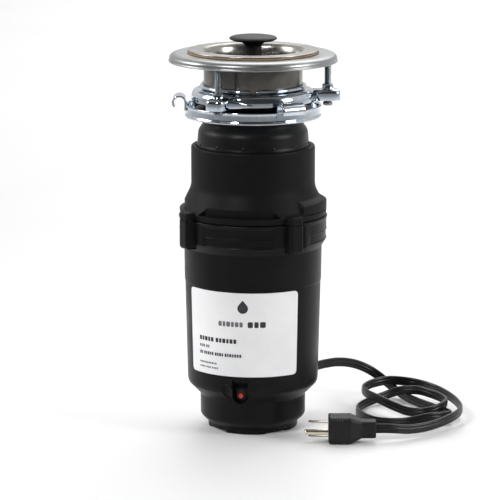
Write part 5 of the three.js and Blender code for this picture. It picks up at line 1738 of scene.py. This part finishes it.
    def _pin(self) -> Skin:
        """The round earth pin with a domed tip."""
        low, high = self._lying("plug_ground_pin")
        middle, radius = (low + high) / 2, (high[1] - low[1]) / 2
        t = np.linspace(0, math.pi / 2, 8)
        x = np.concatenate([[high[0]], low[0] + radius * (1 - np.sin(t))])
        size = np.concatenate([[radius], radius * np.clip(np.cos(t), 0.05, 1)])
        rows = [np.column_stack([np.full(32, p), middle[1:] + superellipse(s, s, 2, 32)]) for p,
                s in zip(x, size)]
        return Skin(np.stack(rows)).moved(Matrix.Rotation(self.turn, 4, "Z"))


# ---- what stays as it is --------------------------------------------------------------------


class CarriedNodes:
    """Dresses the CAD nodes that stay as they are, by material slot."""

    DRESS = (
        ("black_rubber", Finishes.cushion_rubber, ("inlet_plug", "housing_gasket", "shaft_seal")),
        ("black_shell", Finishes.hopper_plastic, ("drain_chamber",)),
        ("stainless", Finishes.stainless, ("shredder_ring", "turntable", "impeller_1", "impeller_2")),
        ("switch_grey", Finishes.switch_grey, ("rectifier",)),
        ("motor_steel", Finishes.motor_steel,
         ("shaft", "upper_bearing", "lower_bearing", "motor_can", "end_bell",
                                               "armature_core")),
        ("copper", Finishes.copper, ("winding_bottom", "winding_top", "commutator")),
        ("fibre", Finishes.fibre, ("brush_plate",)),
        ("ferrite", Finishes.ferrite, ("magnet_1", "magnet_2")),
        ("carbon", Finishes.carbon, ("brush_1", "brush_2")),
        ("screw_steel", Finishes.screw_steel,
         ("brush_spring_1", "brush_spring_2", "turntable_nut", "impeller_pin_1",
                                               "impeller_pin_2")),
    )

    def dress(self) -> None:
        """Gives each node its slot's finish."""
        for slot, finish, names in self.DRESS:
            for name in names:
                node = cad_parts[name]
                node.data.materials.clear()
                node.data.materials.append(finish.material())
                log.info("%s dressed as %s", name, slot)


# ---- studio ---------------------------------------------------------------------------------


@dataclass
class Studio:
    """Camera, pale floor and soft lights."""

    lens: float = 211.3
    distance: float = 2.547
    eye_height: float = 0.666
    pitch: float = math.radians(11.27)
    turn: float = math.radians(13)
    aim_shift: float = -0.0115

    def build(self) -> None:
        """Sets the whole studio up."""
        self.camera()
        self.floor()
        self.lights()
        self.world()

    def camera(self) -> None:
        """The camera, level sideways and pitched down a little."""
        data = bpy.data.cameras.new("camera")
        data.lens, data.sensor_width = self.lens, 36.0
        data.clip_start, data.clip_end = 0.05, 60
        obj = bpy.data.objects.new("camera", data)
        bpy.context.scene.collection.objects.link(obj)
        right = Vector((math.cos(self.turn), math.sin(self.turn), 0))
        back = Vector((math.sin(self.turn), -math.cos(self.turn), 0))
        obj.location = back * self.distance + right * self.aim_shift + Vector((0, 0, self.eye_height))
        obj.rotation_euler = (math.pi / 2 - self.pitch, 0, self.turn)
        bpy.context.scene.camera = obj

    def floor(self) -> None:
        """A wide pale floor with the faintest unevenness."""
        reach, count = 14.0, 3
        side = np.linspace(-reach, reach, count)
        x, y = np.meshgrid(side, side)
        vertices = np.column_stack([x.ravel(), y.ravel(), np.zeros(x.size)])
        index = np.arange(count * count).reshape(count, count)
        faces = np.stack([index[:-1, :-1], index[:-1, 1:], index[1:, 1:], index[1:, :-1]], -1).reshape(-1, 4)
        mesh = bpy.data.meshes.new("floor")
        mesh.from_pydata(vertices.tolist(), [], faces.tolist())
        obj = bpy.data.objects.new("floor", mesh)
        bpy.context.scene.collection.objects.link(obj)
        finish = Finish("floor_white", (0.84, 0.84, 0.84), (0.86, 0.86, 0.86), (0.42, 0.5),
                        grain=Grain.SMOOTH,
                        scale=40, relief=0.02, patches=2)
        mesh.materials.append(finish.material())

    def lights(self) -> None:
        """Soft boxes: above and behind, on both sides, and a small fill from high in front."""
        self._box("above", (0.2, 1.5, 2.3), (0.2, 1.6, 0), 2.0, 16, 125)
        self._box("behind", (0.2, 3.9, 2.6), (0.2, 3.6, 0), 3.2, 62, 140)
        self._box("left", (-1.9, -0.2, 1.1), (0, 0, 0.22), 0.9, 2.6, 60)
        self._box("right", (1.8, -0.3, 0.9), (0, 0, 0.22), 0.6, 2.0, 60)
        self._box("fill", (-0.9, -2.3, 1.9), (0, 0, 0.12), 0.5, 1.9, 40)

    @staticmethod
    def _box(name: str, place: Sequence[float], aim: Sequence[float], size: float, power: float,
             spread: float) -> None:
        """One square area light aimed at a point, its beam opening by a number of degrees."""
        data = bpy.data.lights.new(name, "AREA")
        data.shape, data.size, data.energy, data.spread = "SQUARE", size, power, math.radians(spread)
        obj = bpy.data.objects.new(name, data)
        bpy.context.scene.collection.objects.link(obj)
        obj.location = place
        obj.rotation_mode = "QUATERNION"
        obj.rotation_quaternion = (Vector(aim) - Vector(place)).to_track_quat("-Z", "Y")

    @staticmethod
    def world() -> None:
        """A pale surround that falls to grey in front: a smooth step on the direction's Y."""
        world = bpy.data.worlds.new("surround")
        world.use_nodes = True
        tree = world.node_tree
        back = tree.nodes["Background"]
        place = tree.nodes.new("ShaderNodeTexCoord")
        apart = tree.nodes.new("ShaderNodeSeparateXYZ")
        fade = tree.nodes.new("ShaderNodeMapRange")
        fade.interpolation_type = "SMOOTHSTEP"
        for name, value in (("From Min", -0.55), ("From Max", 0.35), ("To Min", 0.05), ("To Max", 0.72)):
            fade.inputs[name].default_value = value
        tree.links.new(place.outputs["Generated"], apart.inputs[0])
        tree.links.new(apart.outputs["Y"], fade.inputs["Value"])
        tree.links.new(fade.outputs["Result"], back.inputs["Strength"])
        back.inputs["Color"].default_value = (1, 1, 1, 1)
        bpy.context.scene.world = world
        bpy.context.scene.view_settings.view_transform = "Standard"


def main() -> None:
    """Builds the disposal and its studio."""
    logging.basicConfig(level=logging.INFO, format="%(name)s %(message)s")
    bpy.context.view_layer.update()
    Studio().build()
    Flex().build()
    shell = LowerShell()
    builders = [Stopper(), SinkFlange(), MountRings(), SplashGuard(), UpperHousing(), shell, Sticker(shell),
                ResetSwitch()]
    for builder in builders:
        for part in builder.parts():
            part.build()
    CarriedNodes().dress()


if __name__ == "__main__":
    main()
